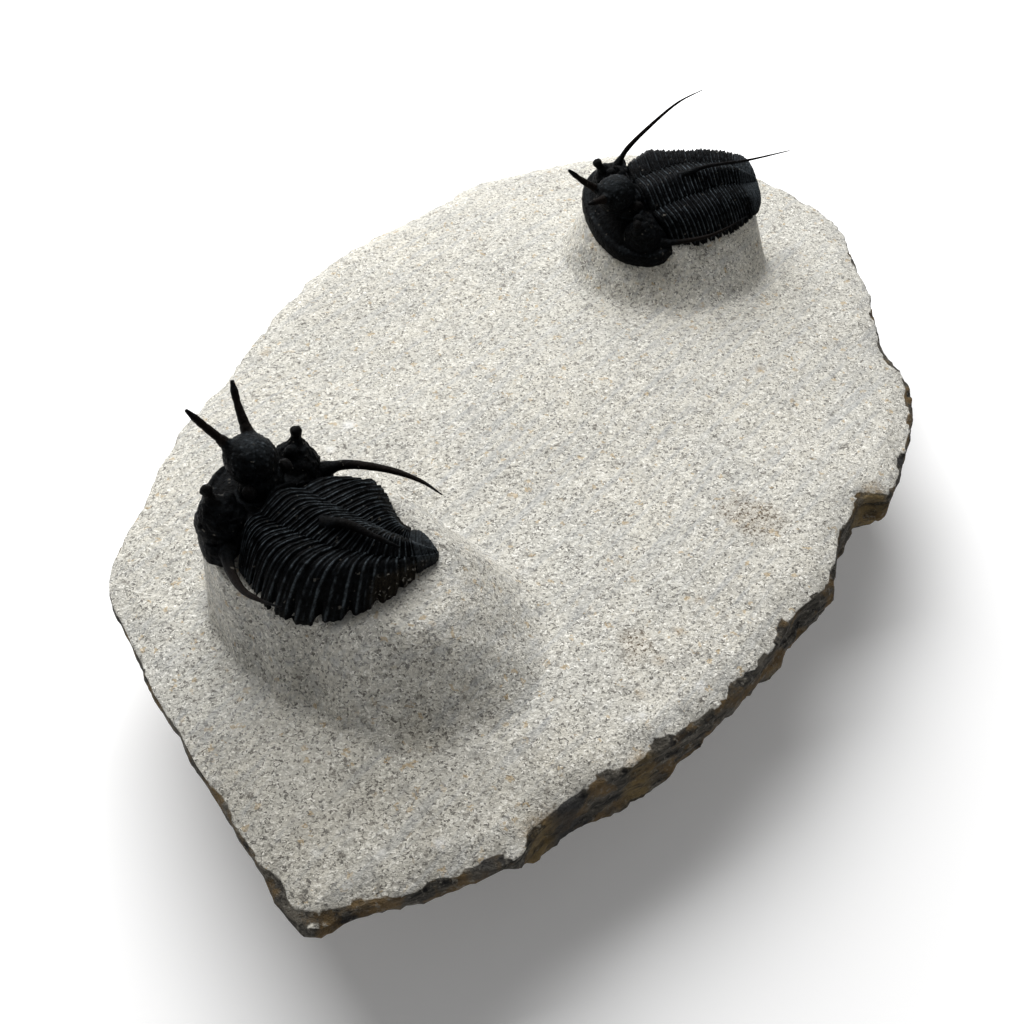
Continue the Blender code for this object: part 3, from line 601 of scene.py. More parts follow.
def make_slab(finish):
    """The stone: worked top, upright broken edge, undercut sides and flat base."""
    coarse = even_steps(curve_through(RIM, 400, closed=True), 2.0)
    rim = even_steps(curve_through(RIM, 1600, closed=True), RIM_STEP)
    count = len(rim)
    outward = -to_the_left(rim)
    notch = noise(np.column_stack([rim, np.zeros(count)]), 3.2, 11, 3) * 0.22 - 0.1
    rim = rim + outward * notch[:, None]
    flat = np.vstack([rim, slab_grid(rim, coarse)])
    edges = [(i, (i + 1) % count) for i in range(count)]
    found = delaunay_2d_cdt([Vector(p) for p in flat], edges, [], 1, 1e-6)
    plan = np.array([tuple(p) for p in found[0]])
    away = distance_to_line(plan, rim[::3])
    spot = np.column_stack([plan, np.zeros(len(plan))])
    heights, wall = slab_top(plan[:, 0], plan[:, 1], away)
    heights += wall * (0.35 * noise(spot, 2.6, 24, 3) + 0.14 * noise(spot, 0.7, 25, 2))
    heights += 0.10 * noise(spot, 4.0, 21, 2) + 0.05 * noise(spot, 1.1, 22, 2)
    along = (plan[:, 0] - 0.8 * plan[:, 1]) / 9.0
    across = (0.8 * plan[:, 0] + plan[:, 1]) / 0.9
    strokes = noise(np.column_stack([along, across, spot[:, 2]]), 1.0, 23, 2)
    heights += (0.045 + 0.05 * wall) * strokes

    compass = np.degrees(np.arctan2(rim[:, 1], rim[:, 0]))
    compass = np.where(compass < BREAK_ANGLES[0], compass + 360.0, compass)
    drop = np.interp(compass, BREAK_ANGLES, BREAK_HEIGHTS)
    rough_side = smooth_step((drop - 1.9) / 1.5)

    facing = np.degrees(np.arctan2(plan[:, 1], plan[:, 0]))
    chip = np.interp(facing, (-125, -110, 20, 45), (0.15, 1.0, 0.9, 0.25))
    bite = chip * (0.55 + 0.75 * noise(spot, 2.2, 31, 3)) - away
    chipped = smooth_step(bite / 0.25)
    heights -= chipped * (0.35 + 0.25 * noise(spot, 0.8, 32, 2))

    points = [(x, y, z) for (x, y), z in zip(plan, heights)]
    broken = list(chipped)
    side = [0.0] * len(points)
    faces = [tuple(f) for f in found[2]]
    order = {source: i for i, sources in enumerate(found[3]) for source in sources}
    top_ring = [order[i] for i in range(count)]
    top_height = heights[top_ring]
    rings = [top_ring]

    for row in range(1, BREAK_ROWS + UNDERCUT_ROWS + 1):
        scale, z, depth = wall_row(row, top_height, drop)
        place = np.column_stack([rim * scale, z])
        layered = place * (0.3, 0.3, 1.0) + 0.5 * noise(place, 6.0, 41, 2)[:, None]
        rough = 0.45 * noise(layered, 1.3, 42, 3) + 0.3 * noise(place, 2.2, 43, 3)
        rough = (rough + 0.12 * noise(place, 0.7, 44, 2)) * depth
        if row <= BREAK_ROWS:
            rough = rough * (0.35 + 0.65 * rough_side) - 0.15 * depth
        place[:, :2] += outward * rough[:, None]
        if row < BREAK_ROWS + UNDERCUT_ROWS:
            place[:, 2] += 0.2 * depth * noise(place, 1.8, 45, 2)
        start = len(points)
        points += [tuple(p) for p in place]
        broken += [1.0] * count
        side += [max(0.0, row - BREAK_ROWS) / UNDERCUT_ROWS] * count
        rings.append([start + i for i in range(count)])
    bridge(rings[::-1], faces)
    faces.append(tuple(reversed(rings[-1])))
    marks = mark_shares(np.array(points), np.array(side))
    values = {"broken": broken, "side": side, **marks}
    return new_piece("stone", points, faces, finish, "matrix", values)


# Trilobites

def back_line(spec):
    """The middle line of the back in plan: stations, places and headings."""
    run = np.linspace(-0.6, BODY_LENGTH, 400)
    turn = math.radians(spec["bend"]) * np.clip(run / BODY_LENGTH, 0.0, 1.0) ** BEND_POWER
    step = run[1] - run[0]
    x = NECK_X - run[0] - np.concatenate([[0.0], np.cumsum(np.cos(turn[:-1]) * step)])
    y = -np.concatenate([[0.0], np.cumsum(np.sin(turn[:-1]) * step)])
    return run, x, y, turn


def half_width(run):
    """Half the body's width along the back."""
    beyond = np.clip((run - THORAX_LENGTH) / TAIL_LENGTH, 0.0, 1.0)
    return (1.0 - beyond ** 2.2) ** 0.6 * np.interp(run, WIDTH_STATIONS, HALF_WIDTHS)


def back_height(run):
    """Height of the middle lobe's crest along the back."""
    return np.interp(run, CREST_STATIONS, CREST_HEIGHTS)


def lobe_width(run):
    """Half the width of the middle lobe along the back."""
    return np.interp(run, LOBE_STATIONS, LOBE_WIDTHS)


def rib_relief(phase, width):
    """Relief along one segment: two thin ridges, a faint one between, and a groove at each end."""
    return (1.0 * bump(phase, 0.85, 0.11 * width) + 0.4 * bump(phase, 0.60, 0.08)
            + 0.85 * bump(phase, 0.34, 0.11 * width) - 0.3 * bump(phase, 0.47, 0.06)
            - 0.9 * bump(phase, 0.02, 0.10) - 0.9 * bump(phase, 1.02, 0.11))


def half_row(spec, sign, station, phase, rib, teeth, back):
    """One side of one row, from the middle outward: its points, their relief and their wear."""
    q = PLEURA_SHARES
    inner = len(LOBE_SHARES)
    on_lobe = np.zeros(inner)
    arch = 0.4 * np.sqrt(1.0 - LOBE_SHARES ** 2) + 0.3 * (1.0 + np.cos(math.pi * LOBE_SHARES))
    slant = spec["slant"] * math.sin(math.pi * min(station / THORAX_LENGTH, 1.0))
    at = station - sign * slant * np.concatenate([0.35 * LOBE_SHARES, 0.35 + 0.65 * q])
    x, y, turn = (np.interp(at, back[0], line) for line in back[1:])
    full = half_width(at)
    loss = np.interp(at, WEAR_STATIONS, spec["worn_right" if sign < 0 else "worn_left"])
    width = full - loss * np.minimum(1.0, full / HALF_WIDTHS[-1])
    lobe = np.minimum(lobe_width(at), 0.6 * width)
    flank = lobe[inner:] + (width - lobe)[inner:] * q
    reach = np.concatenate([LOBE_SHARES * lobe[:inner], flank])
    beyond = np.clip((reach - lobe) / np.maximum(width - lobe, 0.1), 0.0, 1.0)

    crest = back_height(at)
    furrow = crest - np.minimum(1.25, 0.42 * crest)
    edge = np.minimum(EDGE_HEIGHT, 0.5 * furrow)
    z_in = furrow[:inner] + (crest - furrow)[:inner] * arch
    z_out = edge[inner:] + (furrow - edge)[inner:] * (1.0 - q ** PLEURA_BEND)
    z = np.concatenate([z_in, z_out + 0.22 * np.sin(math.pi * q)])
    z = z + spec["lean"] * sign * reach * (1.0 - beyond ** 3)
    tip = TOOTH * teeth * math.sqrt(max(0.0, 1.0 - ((phase - 0.56) / 0.42) ** 2))
    reach[inner:] += tip * smooth_step((q - 0.85) / 0.15)
    along_reach, along_z = np.gradient(reach), np.gradient(z)
    size = np.hypot(along_reach, along_z)
    reach = reach - along_z / size * RELIEF * rib
    z = z + along_reach / size * RELIEF * rib

    slim = np.interp(q, (0.0, 0.86, 1.0), (0.60, 0.54, 0.34))
    gap = 1.0 - smooth_step((slim - abs(phase - 0.53)) / 0.07)
    gap = np.append(on_lobe, gap * smooth_step((q - 0.86) / 0.08) * teeth)
    z = z * (1 - gap) + GAP_LOW * gap
    sweep = SWEEP * np.minimum(1.0, width[inner:] / 6.0)
    sweep = sweep * q * q + 0.04 - 0.12 * (1 - q)
    behind = np.concatenate([0.16 * LOBE_SHARES ** 2 - 0.12, sweep])
    px = x - behind * np.cos(turn) - sign * reach * np.sin(turn)
    py = y - behind * np.sin(turn) + sign * reach * np.cos(turn)
    worn = smooth_step((loss[inner:] - 0.9) / 1.2) * smooth_step((q - 0.62) / 0.25)
    return np.column_stack([px, py, z]), rib - gap, np.append(on_lobe, worn)


def body_rows(spec, stations, phases, strength, teeth):
    """Rows of points across the back with their relief and wear, closed below."""
    back = back_line(spec)
    rows, reliefs, crumbs = [], [], []
    for station, phase in zip(stations, phases):
        rib = rib_relief(phase, spec["rib_width"]) * strength
        right, left = (
            half_row(spec, sign, station, phase, rib, teeth, back) for sign in (-1, 1))
        row, relief, crumb = (np.concatenate([a[::-1], b[1:]]) for a, b in zip(right, left))
        skirt = np.array([(*row[-1][:2], BODY_LOW), (*row[0][:2], BODY_LOW)])
        rows.append(np.vstack([row, skirt]))
        reliefs += [relief, (-1.0, -1.0)]
        crumbs += [crumb, (0.0, 0.0)]
    return rows, np.concatenate(reliefs), np.concatenate(crumbs)


def thorax_stations():
    """Stations along the thorax, and how far each lies through its own segment."""
    stations, phases = [], []
    start = 0.0
    for k in range(SEGMENTS):
        pitch = PITCH_FRONT + (PITCH_REAR - PITCH_FRONT) * (k + 0.5) / SEGMENTS
        for step in range(SEGMENT_ROWS):
            phase = step / SEGMENT_ROWS
            stations.append(start + phase * pitch)
            phases.append(phase)
        start += pitch
    return stations + [THORAX_LENGTH], phases + [0.0]


def shell_detail(points, normals, relief, grain):
    """Points pushed in and out by fine granules and wear, and the relief mask for painted highlights
    on raised lines, with granules added so that they get painted highlights too.
    """
    rough = 0.02 * noise(points, 0.4, 51, 2) + 0.04 * noise(points, 1.6, 52, 2)
    away, number = nearest_spot(points, 0.42, 53)
    granule = smooth_step(1.0 - away / (0.34 + 0.2 * number)) * grain
    points = points + normals * (rough + 0.08 * granule)[:, None]
    return points, np.clip(relief + 0.35 * granule, -1.0, 1.5)


def make_thorax(name, spec, finish):
    """Twelve ridged segments, with the long spine on the sixth."""
    stations, phases = thorax_stations()
    rows, relief, crumb = body_rows(spec, stations, phases, 1.0, 1.0)
    points, faces = grid_shape(rows)
    above = points[:, 2] > 0.0
    points[:, 2] += (0.03 * noise(points, 0.9, 61, 3) + 0.02 * noise(points, 0.3, 62, 1)) * above
    points[:, 2] += (0.16 * noise(points, 0.7, 64, 2) - 0.1) * crumb * above
    # Painted highlight: this relief mask also paints grey highlight colour on the segments' raised
    # lines, varied at random along them.
    relief = relief * (0.85 + 0.7 * noise(points, 0.45, 66, 2))
    # Painted shade: the painted highlights are dimmed on the animal's right flank, so that side is
    # darker.
    relief = relief * (1.0 - spec["painted_flank_shade"] * smooth_step(-points[:, 1] / 3.0))
    path = curve_through(spec["back_spine"], SPINE_STEPS)
    radii = np.interp(np.linspace(0, 1, SPINE_STEPS), SPINE_SHARES, spec["spine_radii"])
    spine = tube(path, radii * (1 + 0.08 * noise(path, 0.8, 63, 2)))
    body_points, body_faces, _ = united((points, faces), [spine])
    values = carry_over(points, body_points, {"relief": relief, "crumb": crumb})
    values["warm"] = 0.4 * spine_warmth(body_points, path, radii)
    place_piece(name + "_segments", body_points, body_faces, spec, finish, name + "_thorax", values)


def carry_over(points, new_points, values):
    """Numbers carried to a new mesh's points from the nearest old point, and 0 away from them."""
    tree = KDTree(len(points))
    for i, p in enumerate(points):
        tree.insert(p, i)
    tree.balance()
    nearest = [tree.find(p) for p in new_points]
    index = np.array([n[1] for n in nearest])
    far = np.array([n[2] for n in nearest]) > 0.05
    return {key: np.where(far, 0.0, numbers[index]) for key, numbers in values.items()}


def spine_warmth(points, path, radii):
    """How brown each point is: brown along the middle of a spine, black at its root and tip."""
    best = np.full(len(points), 1e9)
    along = np.zeros(len(points))
    size = np.zeros(len(points))
    for i, p in enumerate(path):
        d = np.linalg.norm(points - p, axis=1)
        closer = d < best
        best[closer] = d[closer]
        along[closer] = i / (len(path) - 1)
        size[closer] = radii[i]
    brown = smooth_step((along - 0.12) / 0.25) * (1.0 - 0.8 * smooth_step((along - 0.72) / 0.2))
    return np.where(best < 1.25 * size + 0.05, brown, 0.0)


def place_piece(name, points, faces, spec, finish, stands_for, values, held=Matrix.Identity(4)):
    """Carries an animal's piece to its seat on the stone and makes it."""
    matrix = seat_matrix(spec) @ Matrix.Scale(spec["size"], 4) @ held
    new_piece(name, moved(matrix, points), faces, finish, stands_for, values)


def make_tail(name, spec, finish):
    """The small tail shield behind the last segment."""
    stations = THORAX_LENGTH + 0.02 + (TAIL_LENGTH - 0.02) * np.linspace(0.0, 0.985, 46) ** 0.9
    phases = ((stations - THORAX_LENGTH) / 0.62) % 1.0
    rows, relief, crumb = body_rows(spec, stations, phases, 0.45, 0.0)
    points, faces = grid_shape(rows)
    points[:, 2] += 0.03 * noise(points, 0.8, 65, 3) * (points[:, 2] > 0.0)
    # Painted highlight: the tail's relief mask is raised, so the whole shield gets some grey highlight
    # colour.
    values = {"relief": 0.5 + 0.5 * relief, "crumb": 0.5 * crumb, "warm": np.zeros(len(points))}
    place_piece(name + "_tail", points, faces, spec, finish, name + "_pygidium", values)


def neck_line(y, spec):
    """Where the thorax begins, at a distance out from the middle."""
    lobe = float(lobe_width(0.0))
    worn = np.where(np.asarray(y) > 0.0, spec["worn_left"][0], spec["worn_right"][0])
    width = float(half_width(0.0)) - worn
    share = np.clip((np.abs(y) - lobe) / (width - lobe), 0.0, 1.3)
    return NECK_X - SWEEP * share ** 2


def head_reach(turn, spec):
    """Distance from the head's middle to its edge, in a direction from straight ahead."""
    side = "left" if turn < math.pi else "right"
    cheek = spec["cheek_" + side]
    corner_x, corner_y = spec["corner_" + side]
    c, s = math.cos(turn), abs(math.sin(turn))
    if c >= 0:
        brow = spec["brow"]
        return (abs(c / HEAD_FRONT) ** brow + (s / cheek) ** brow) ** (-1 / brow)
    corner = math.atan2(corner_y, corner_x - HEAD_CENTRE)
    corner_reach = math.hypot(corner_y, corner_x - HEAD_CENTRE)
    angle = math.atan2(s, c)
    if angle <= corner:
        return cheek + (corner_reach - cheek) * (angle - math.pi / 2) / (corner - math.pi / 2)
    across = s if turn < math.pi else -s
    reach = 1.0
    for _ in range(20):
        reach = min((HEAD_CENTRE - float(neck_line(reach * across, spec)) - 0.1) / -c, corner_reach)
    return reach


def head_height(x, y, rho, spec):
    """Height of the head shield, with its raised border and the ring at the nape."""
    z = 0.7 + 2.0 * (1.0 - rho ** 2.4)
    border = np.exp(-((rho - 0.955) / 0.05) ** 2) - 0.7 * np.exp(-((rho - 0.85) / 0.055) ** 2)
    z += spec["rim"] * border
    ring = np.sqrt(np.clip(1.0 - (y / 2.7) ** 2, 0.0, 1.0)) * np.exp(-((x - NECK_X - 0.45) / 0.6) ** 2)
    edge_ring = 0.45 * np.exp(-((x - neck_line(y, spec) - 0.45) / 0.28) ** 2)
    edge_ring = edge_ring * smooth_step((np.abs(y) - 2.2) / 1.0)
    return np.maximum(z + edge_ring, 4.05 * ring)


def shield_shape(spec):
    """The head shield: a domed half disc with a raised border, closed below."""
    shares = np.concatenate([np.linspace(0.05, 0.75, 22), np.linspace(0.77, 1.0, 16)])
    around = HEAD_DIRECTIONS
    turns = 2 * math.pi * np.arange(around) / around
    reach = np.array([head_reach(turn, spec) for turn in turns])
    middle = np.array([(HEAD_CENTRE, 0.0, float(head_height(HEAD_CENTRE, 0.0, 0.0, spec)))])
    rows = [middle]
    for rho in shares:
        x = HEAD_CENTRE + rho * reach * np.cos(turns)
        y = rho * reach * np.sin(turns)
        z = head_height(x, y, rho, spec)
        if rho > 0.97:
            z = z - 0.5 * ((rho - 0.97) / 0.03) ** 2
        rows.append(np.column_stack([x, y, z]))
    low = rows[-1].copy()
    low[:, 2] = HEAD_LOW
    rows.append(low)
    points = np.vstack(rows)
    rings = [[1 + r * around + k for k in range(around)] for r in range(len(rows) - 1)]
    faces = [(0, rings[0][k], rings[0][(k + 1) % around]) for k in range(around)]
    bridge(rings[::-1], faces)
    faces.append(tuple(reversed(rings[-1])))
    return points, faces


def mirrored(place, sign):
    """A place on the animal's left, or the one that mirrors it on its right."""
    return np.array(place) * (1.0, sign, 1.0)


def eye_shape(tip, sign):
    """A conical eye stalk that flares from the cheek to a small round knob."""
    foot = mirrored(EYE_FOOT, sign)
    return tube(foot + np.array(EYE_SHARES)[:, None] * (tip - foot), EYE_RADII, 24)


def head_spines(spec):
    """The paths and radii of both horns and both cheek spines."""
    lines = []
    for side in ("left", "right"):
        path = curve_through(spec["horn_" + side], HORN_STEPS)
        radii = np.interp(np.linspace(0, 1, HORN_STEPS), HORN_SHARES, HORN_RADII)
        lines.append((path, radii * (1 + 0.16 * noise(path, 0.5, 71, 2))))
        path = curve_through(spec["cheek_spine_" + side], CHEEK_STEPS)
        radii = np.interp(np.linspace(0, 1, CHEEK_STEPS), CHEEK_SHARES, spec["cheek_radii"])
        lines.append((path, radii * (1 + 0.08 * noise(path, 0.8, 72, 2))))
    return lines


def make_head(name, spec, finish):
    """Head shield, swollen glabella, beads, eye stalks, horns and cheek spines."""
    parts = [shield_shape(spec), ball(BULB_AT, BULB_RADII), ball(NAPE_AT, NAPE_RADII)]
    beads = [mirrored(BEAD_AT, sign) for sign in (1, -1)]
    for side, sign, bead in zip(("left", "right"), (1, -1), beads):
        parts.append(ball(bead, (BEAD_RADIUS,) * 3, 20, 12))
        parts.append(eye_shape(np.array(spec["eye_" + side]), sign))
        parts.append(ball(mirrored(LUMP_AT, sign), (LUMP_RADIUS,) * 3, 20, 12))
        root = curve_through(spec["horn_" + side], HORN_STEPS)[:ROOT_STEPS[-1] + 1]
        parts.append(tube(root, np.interp(np.arange(len(root)), ROOT_STEPS, ROOT_RADII)))
    points, faces, normals = melted(parts, HEAD_VOXEL, 3)
    on_bulb = np.linalg.norm((points - BULB_AT) / BULB_RADII, axis=1)
    on_bulb = smooth_step((1.25 - on_bulb) / 0.2)
    on_nape = np.linalg.norm((points - NAPE_AT) / NAPE_RADII, axis=1)
    on_nape = smooth_step((1.3 - on_nape) / 0.2)
    on_eye = smooth_step((np.abs(points[:, 1]) - 3.4) / 0.6)
    on_eye = on_eye * smooth_step((points[:, 2] - 1.9) / 0.6)
    below_knob = 1.0 - smooth_step((points[:, 2] - 3.7) / 0.6)
    upward = np.clip(normals[:, 2], 0.0, 1.0)
    grain = np.clip(0.7 + 0.3 * on_bulb, 0.0, 1.0) * (points[:, 2] > 0.2)
    lumpy = (0.17 * on_eye * below_knob + 0.05) * noise(points, 0.75, 54, 3)
    points = points + normals * lumpy[:, None]
    # Painted highlight: up-facing points on the glabella and the nape ring, and up-facing points low
    # near the border, get a higher relief mask and so a lighter grey highlight colour.
    height = 0.15 + 0.38 * on_bulb * upward + 0.40 * np.maximum(on_nape - on_bulb, 0.0) * upward
    height = height + 0.3 * smooth_step((1.7 - points[:, 2]) / 0.6) * upward
    points, relief = shell_detail(points, normals, height, grain)
    warm = 0.4 * smooth_step((points[:, 2] - 4.1) / 0.6)
    warm = warm * smooth_step((np.abs(points[:, 1]) - 4.2) / 0.5)
    from_bead = np.min([np.linalg.norm(points - bead, axis=1) for bead in beads], axis=0)
    warm = np.maximum(warm, 0.4 * smooth_step((BEAD_RADIUS + 0.12 - from_bead) / 0.1))
    lines = head_spines(spec)
    spines = [tube(path, radii) for path, radii in lines]
    body_points, body_faces, _ = united((points, faces), spines)
    values = carry_over(points, body_points, {"relief": 1.25 * relief - 0.3, "warm": warm})
    values["crumb"] = np.zeros(len(body_points))
    for path, radii in lines:
        values["warm"] = np.maximum(values["warm"], spine_warmth(body_points, path, radii))
    place_piece(name + "_head", body_points, body_faces, spec, finish, name + "_cephalon", values,
                held=head_matrix(spec))


# Materials

def add(tree, kind, inputs=(), **settings):
    """A node with its settings, its inputs set to values or linked to sockets."""
    node = tree.nodes.new(kind)
    for key, value in settings.items():
        setattr(node, key, value)
    for socket, value in inputs:
        if isinstance(value, bpy.types.NodeSocket):
            tree.links.new(value, node.inputs[socket])
        else:
            node.inputs[socket].default_value = value
    return node


def new_material(name):
    """A node material with its tree and its shader."""
    made = bpy.data.materials.new(name)
    made.use_nodes = True
    return made, made.node_tree, made.node_tree.nodes["Principled BSDF"]


def places(tree, stretch=(1.0, 1.0, 1.0), turn=0.0):
    """The place on the object in millimetres, turned about Z and then stretched along each axis."""
    coords = add(tree, "ShaderNodeTexCoord")
    at = add(tree, "ShaderNodeMapping", [
        ("Vector", coords.outputs["Object"]), ("Scale", (1 / MM,) * 3),
        ("Rotation", (0.0, 0.0, turn))])
    return add(tree, "ShaderNodeMapping", [
        ("Vector", at.outputs["Vector"]), ("Scale", stretch)]).outputs["Vector"]


def noise_node(tree, at, per_mm, detail=2.0, roughness=0.5, distortion=0.0):
    """Cloudy noise from 0 to 1, with so many lumps to a millimetre."""
    return add(tree, "ShaderNodeTexNoise", [
        ("Vector", at), ("Scale", per_mm), ("Detail", detail), ("Roughness", roughness),
        ("Distortion", distortion)]).outputs["Fac"]


def spread(tree, value, low, high, to_low=0.0, to_high=1.0):
    """A value's range from low to high mapped to a new one, and clamped."""
    return add(tree, "ShaderNodeMapRange", [
        ("Value", value), ("From Min", low), ("From Max", high), ("To Min", to_low),
        ("To Max", to_high)]).outputs["Result"]


def mix(tree, factor, a, b, how="MIX"):
    """Two colours mixed."""
    node = add(tree, "ShaderNodeMix", data_type="RGBA", blend_type=how)
    for socket, value in ((node.inputs["Factor"], factor), (node.inputs[6], a), (node.inputs[7], b)):
        if isinstance(value, bpy.types.NodeSocket):
            tree.links.new(value, socket)
        else:
            socket.default_value = value if isinstance(value, float) else (*value, 1.0)
    return node.outputs[2]


def maths(tree, how, a, b):
    """Arithmetic on two numbers or sockets."""
    return add(tree, "ShaderNodeMath", [(0, a), (1, b)], operation=how).outputs[0]


def times(tree, a, b):
    """Two numbers or sockets multiplied."""
    return maths(tree, "MULTIPLY", a, b)


def number_on_points(tree, name):
    """A number that the mesh carries on its points."""
    return add(tree, "ShaderNodeAttribute", attribute_name=name).outputs["Fac"]


def warped(tree, at, per_mm, amount):
    """A place pushed about by noise, so that cells get ragged edges."""
    kind = "ShaderNodeVectorMath"
    push = add(tree, "ShaderNodeTexNoise", [("Vector", at), ("Scale", per_mm), ("Detail", 2.0)])
    push = add(tree, kind, [(0, push.outputs["Color"]), (1, (0.5,) * 3)], operation="SUBTRACT")
    push = add(tree, kind, [(0, push.outputs[0]), ("Scale", amount)], operation="SCALE")
    return add(tree, kind, [(0, at), (1, push.outputs[0])], operation="ADD").outputs[0]


def cells(tree, at, per_mm):
    """A random number from 0 to 1 for each of many small grains."""
    grains = add(tree, "ShaderNodeTexVoronoi", [
        ("Vector", at), ("Scale", per_mm), ("Randomness", 1.0)])
    return add(tree, "ShaderNodeSeparateColor", [("Color", grains.outputs["Color"])]).outputs[0]


def bump_map(tree, shader, height, strength, depth):
    """Fine bumps on a surface, their depth in millimetres."""
    node = add(tree, "ShaderNodeBump", [
        ("Height", height), ("Strength", strength), ("Distance", depth * MM)])
    tree.links.new(node.outputs["Normal"], shader.inputs["Normal"])


def limestone():
    """Pale grainy limestone with dark specks, and dark flaky rock where it is broken."""
    made, tree, shader = new_material("limestone")
    at = places(tree)
    broken, side, ochre, brown, chalk, soot, painted_shade = (
        number_on_points(tree, key)
        for key in ("broken", "side", "ochre", "brown", "pale", "dark", "painted_shade"))
    salt = cells(tree, warped(tree, at, 2.4, 0.7), 6.2)
    coarse = cells(tree, warped(tree, at, 2.0, 1.2), 2.4)
    bedding = places(tree, (0.07, 1.1, 1.0), math.radians(-52.0))
    streak = noise_node(tree, bedding, 1.0, 4.0, 0.65)
    grain = noise_node(tree, at, 2.2, 4.0, 0.7)
    fine = noise_node(tree, at, 7.0, 2.0, 0.6)
    mottle = noise_node(tree, at, 0.10, 4.0, 0.6)
    patch = noise_node(tree, at, 0.55, 4.0, 0.65)

    pale = mix(tree, spread(tree, mottle, 0.35, 0.65), (0.73, 0.70, 0.615), (0.65, 0.635, 0.575))
    for share, colour in (
            (spread(tree, patch, 0.48, 0.70, 0.0, 0.7), (0.50, 0.49, 0.455)),
            (spread(tree, grain, 0.36, 0.52, 0.6, 0.0), (0.33, 0.315, 0.285)),
            (spread(tree, grain, 0.53, 0.68, 0.0, 0.55), (0.91, 0.885, 0.81)),
            (spread(tree, salt, 0.24, 0.06, 0.0, 0.85), (0.135, 0.128, 0.115)),
            (spread(tree, salt, 0.80, 0.92, 0.0, 0.8), (0.97, 0.95, 0.88)),
            (spread(tree, coarse, 0.03, 0.015, 0.0, 0.6), (0.17, 0.155, 0.135)),
            (spread(tree, coarse, 0.975, 0.985, 0.0, 0.6), (0.52, 0.38, 0.20)),
            (spread(tree, streak, 0.50, 0.68, 0.0, 0.55), (0.46, 0.47, 0.47)),
            (times(tree, ochre, spread(tree, grain, 0.40, 0.60, 0.15, 0.75)), (0.40, 0.29, 0.16)),
            (times(tree, brown, 0.3), (0.47, 0.40, 0.30)),
            (times(tree, brown, spread(tree, salt, 0.40, 0.16, 0.0, 0.9)), (0.115, 0.085, 0.055)),
            (times(tree, chalk, 0.6), (0.95, 0.95, 0.93))):
        pale = mix(tree, share, pale, colour)
    # Painted shade: the stone is darkened at the slab's front and around the front boss's crease.
    pale = mix(tree, times(tree, painted_shade, 0.8), pale, (0.55, 0.53, 0.49), "MULTIPLY")

    layer = noise_node(tree, places(tree, (0.35, 0.35, 1.6)), 0.9, 5.0, 0.7, 0.6)
    rust = noise_node(tree, at, 0.32, 4.0, 0.6)
    dark = mix(tree, spread(tree, layer, 0.38, 0.66), (0.012, 0.0115, 0.011), (0.135, 0.122, 0.10))
    for share, colour in (
            (spread(tree, rust, 0.49, 0.60, 0.0, 0.8), (0.15, 0.098, 0.043)),
            (spread(tree, grain, 0.55, 0.66, 0.0, 0.6), (0.25, 0.235, 0.20)),
            (times(tree, ochre, spread(tree, layer, 0.40, 0.58, 0.1, 0.8)), (0.20, 0.14, 0.055)),
            (times(tree, soot, 0.8), (0.035, 0.035, 0.036))):
        dark = mix(tree, share, dark, colour)
    under = mix(tree, spread(tree, layer, 0.3, 0.7), (0.10, 0.09, 0.08), (0.30, 0.27, 0.23))
    dark = mix(tree, spread(tree, side, 0.05, 0.5), dark, under)
    torn = maths(tree, "ADD", broken, times(tree, grain, 0.5))
    colour = mix(tree, spread(tree, torn, 0.58, 0.82), pale, dark)
    tree.links.new(colour, shader.inputs["Base Color"])
    shader.inputs["Roughness"].default_value = 0.92
    shader.inputs["Specular IOR Level"].default_value = 0.2

    height = maths(tree, "ADD", grain, times(tree, fine, 0.4))
    height = maths(tree, "ADD", height, times(tree, salt, 0.25))
    height = maths(tree, "ADD", height, times(tree, layer, broken))
    bump_map(tree, shader, height, 1.0, 0.28)
    return made


def black_shell():
    """Black calcite with painted slate-grey highlights on its raised lines and granules, brown spines,
    worn margins and finely granular skin.
    """
    made, tree, shader = new_material("black_shell")
    at = places(tree)
    relief, warm, crumb = (number_on_points(tree, key) for key in ("relief", "warm", "crumb"))
    cloud = noise_node(tree, at, 0.7, 4.0, 0.6)
    grain = noise_node(tree, at, 4.5, 4.0, 0.7)
    salt = cells(tree, warped(tree, at, 3.0, 0.5), 5.0)
    speck = noise_node(tree, at, 2.4, 5.0, 0.75)
    # Painted highlight: slate-grey colour on raised lines and granules, where the lamp's sheen falls.
    ridge_highlight = times(tree, spread(tree, relief, 0.20, 1.10), spread(tree, grain, 0.38, 0.60, 0.2, 1.0))
    patchy = times(tree, crumb, spread(tree, cloud, 0.3, 0.55, 0.4, 1.0))
    crust, skin = spread(tree, grain, 0.4, 0.6), spread(tree, speck, 0.44, 0.62)
    worn = mix(tree, crust, (0.0045, 0.0040, 0.0032), (0.021, 0.0172, 0.0118))
    worn = mix(tree, spread(tree, salt, 0.93, 0.98), worn, (0.30, 0.29, 0.26))
    black = mix(tree, skin, (0.0007, 0.0008, 0.0009), (0.0068, 0.0082, 0.0096))
    for share, colour in (
            (ridge_highlight, (0.100, 0.120, 0.135)),
            (spread(tree, cloud, 0.46, 0.62, 0.0, 0.55), (0.0016, 0.0016, 0.0016)),
            (spread(tree, warm, 0.1, 1.0, 0.0, 0.85), (0.0066, 0.0044, 0.0034)),
            (spread(tree, patchy, 0.15, 0.6), worn),
            (spread(tree, salt, 0.992, 0.998, 0.0, 0.5), (0.16, 0.15, 0.13))):
        black = mix(tree, share, black, colour)
    tree.links.new(black, shader.inputs["Base Color"])
    tree.links.new(spread(tree, grain, 0.3, 0.7, 0.38, 0.56), shader.inputs["Roughness"])
    shader.inputs["Specular IOR Level"].default_value = 0.03
    bump_map(tree, shader, grain, 0.9, 0.16)
    return made


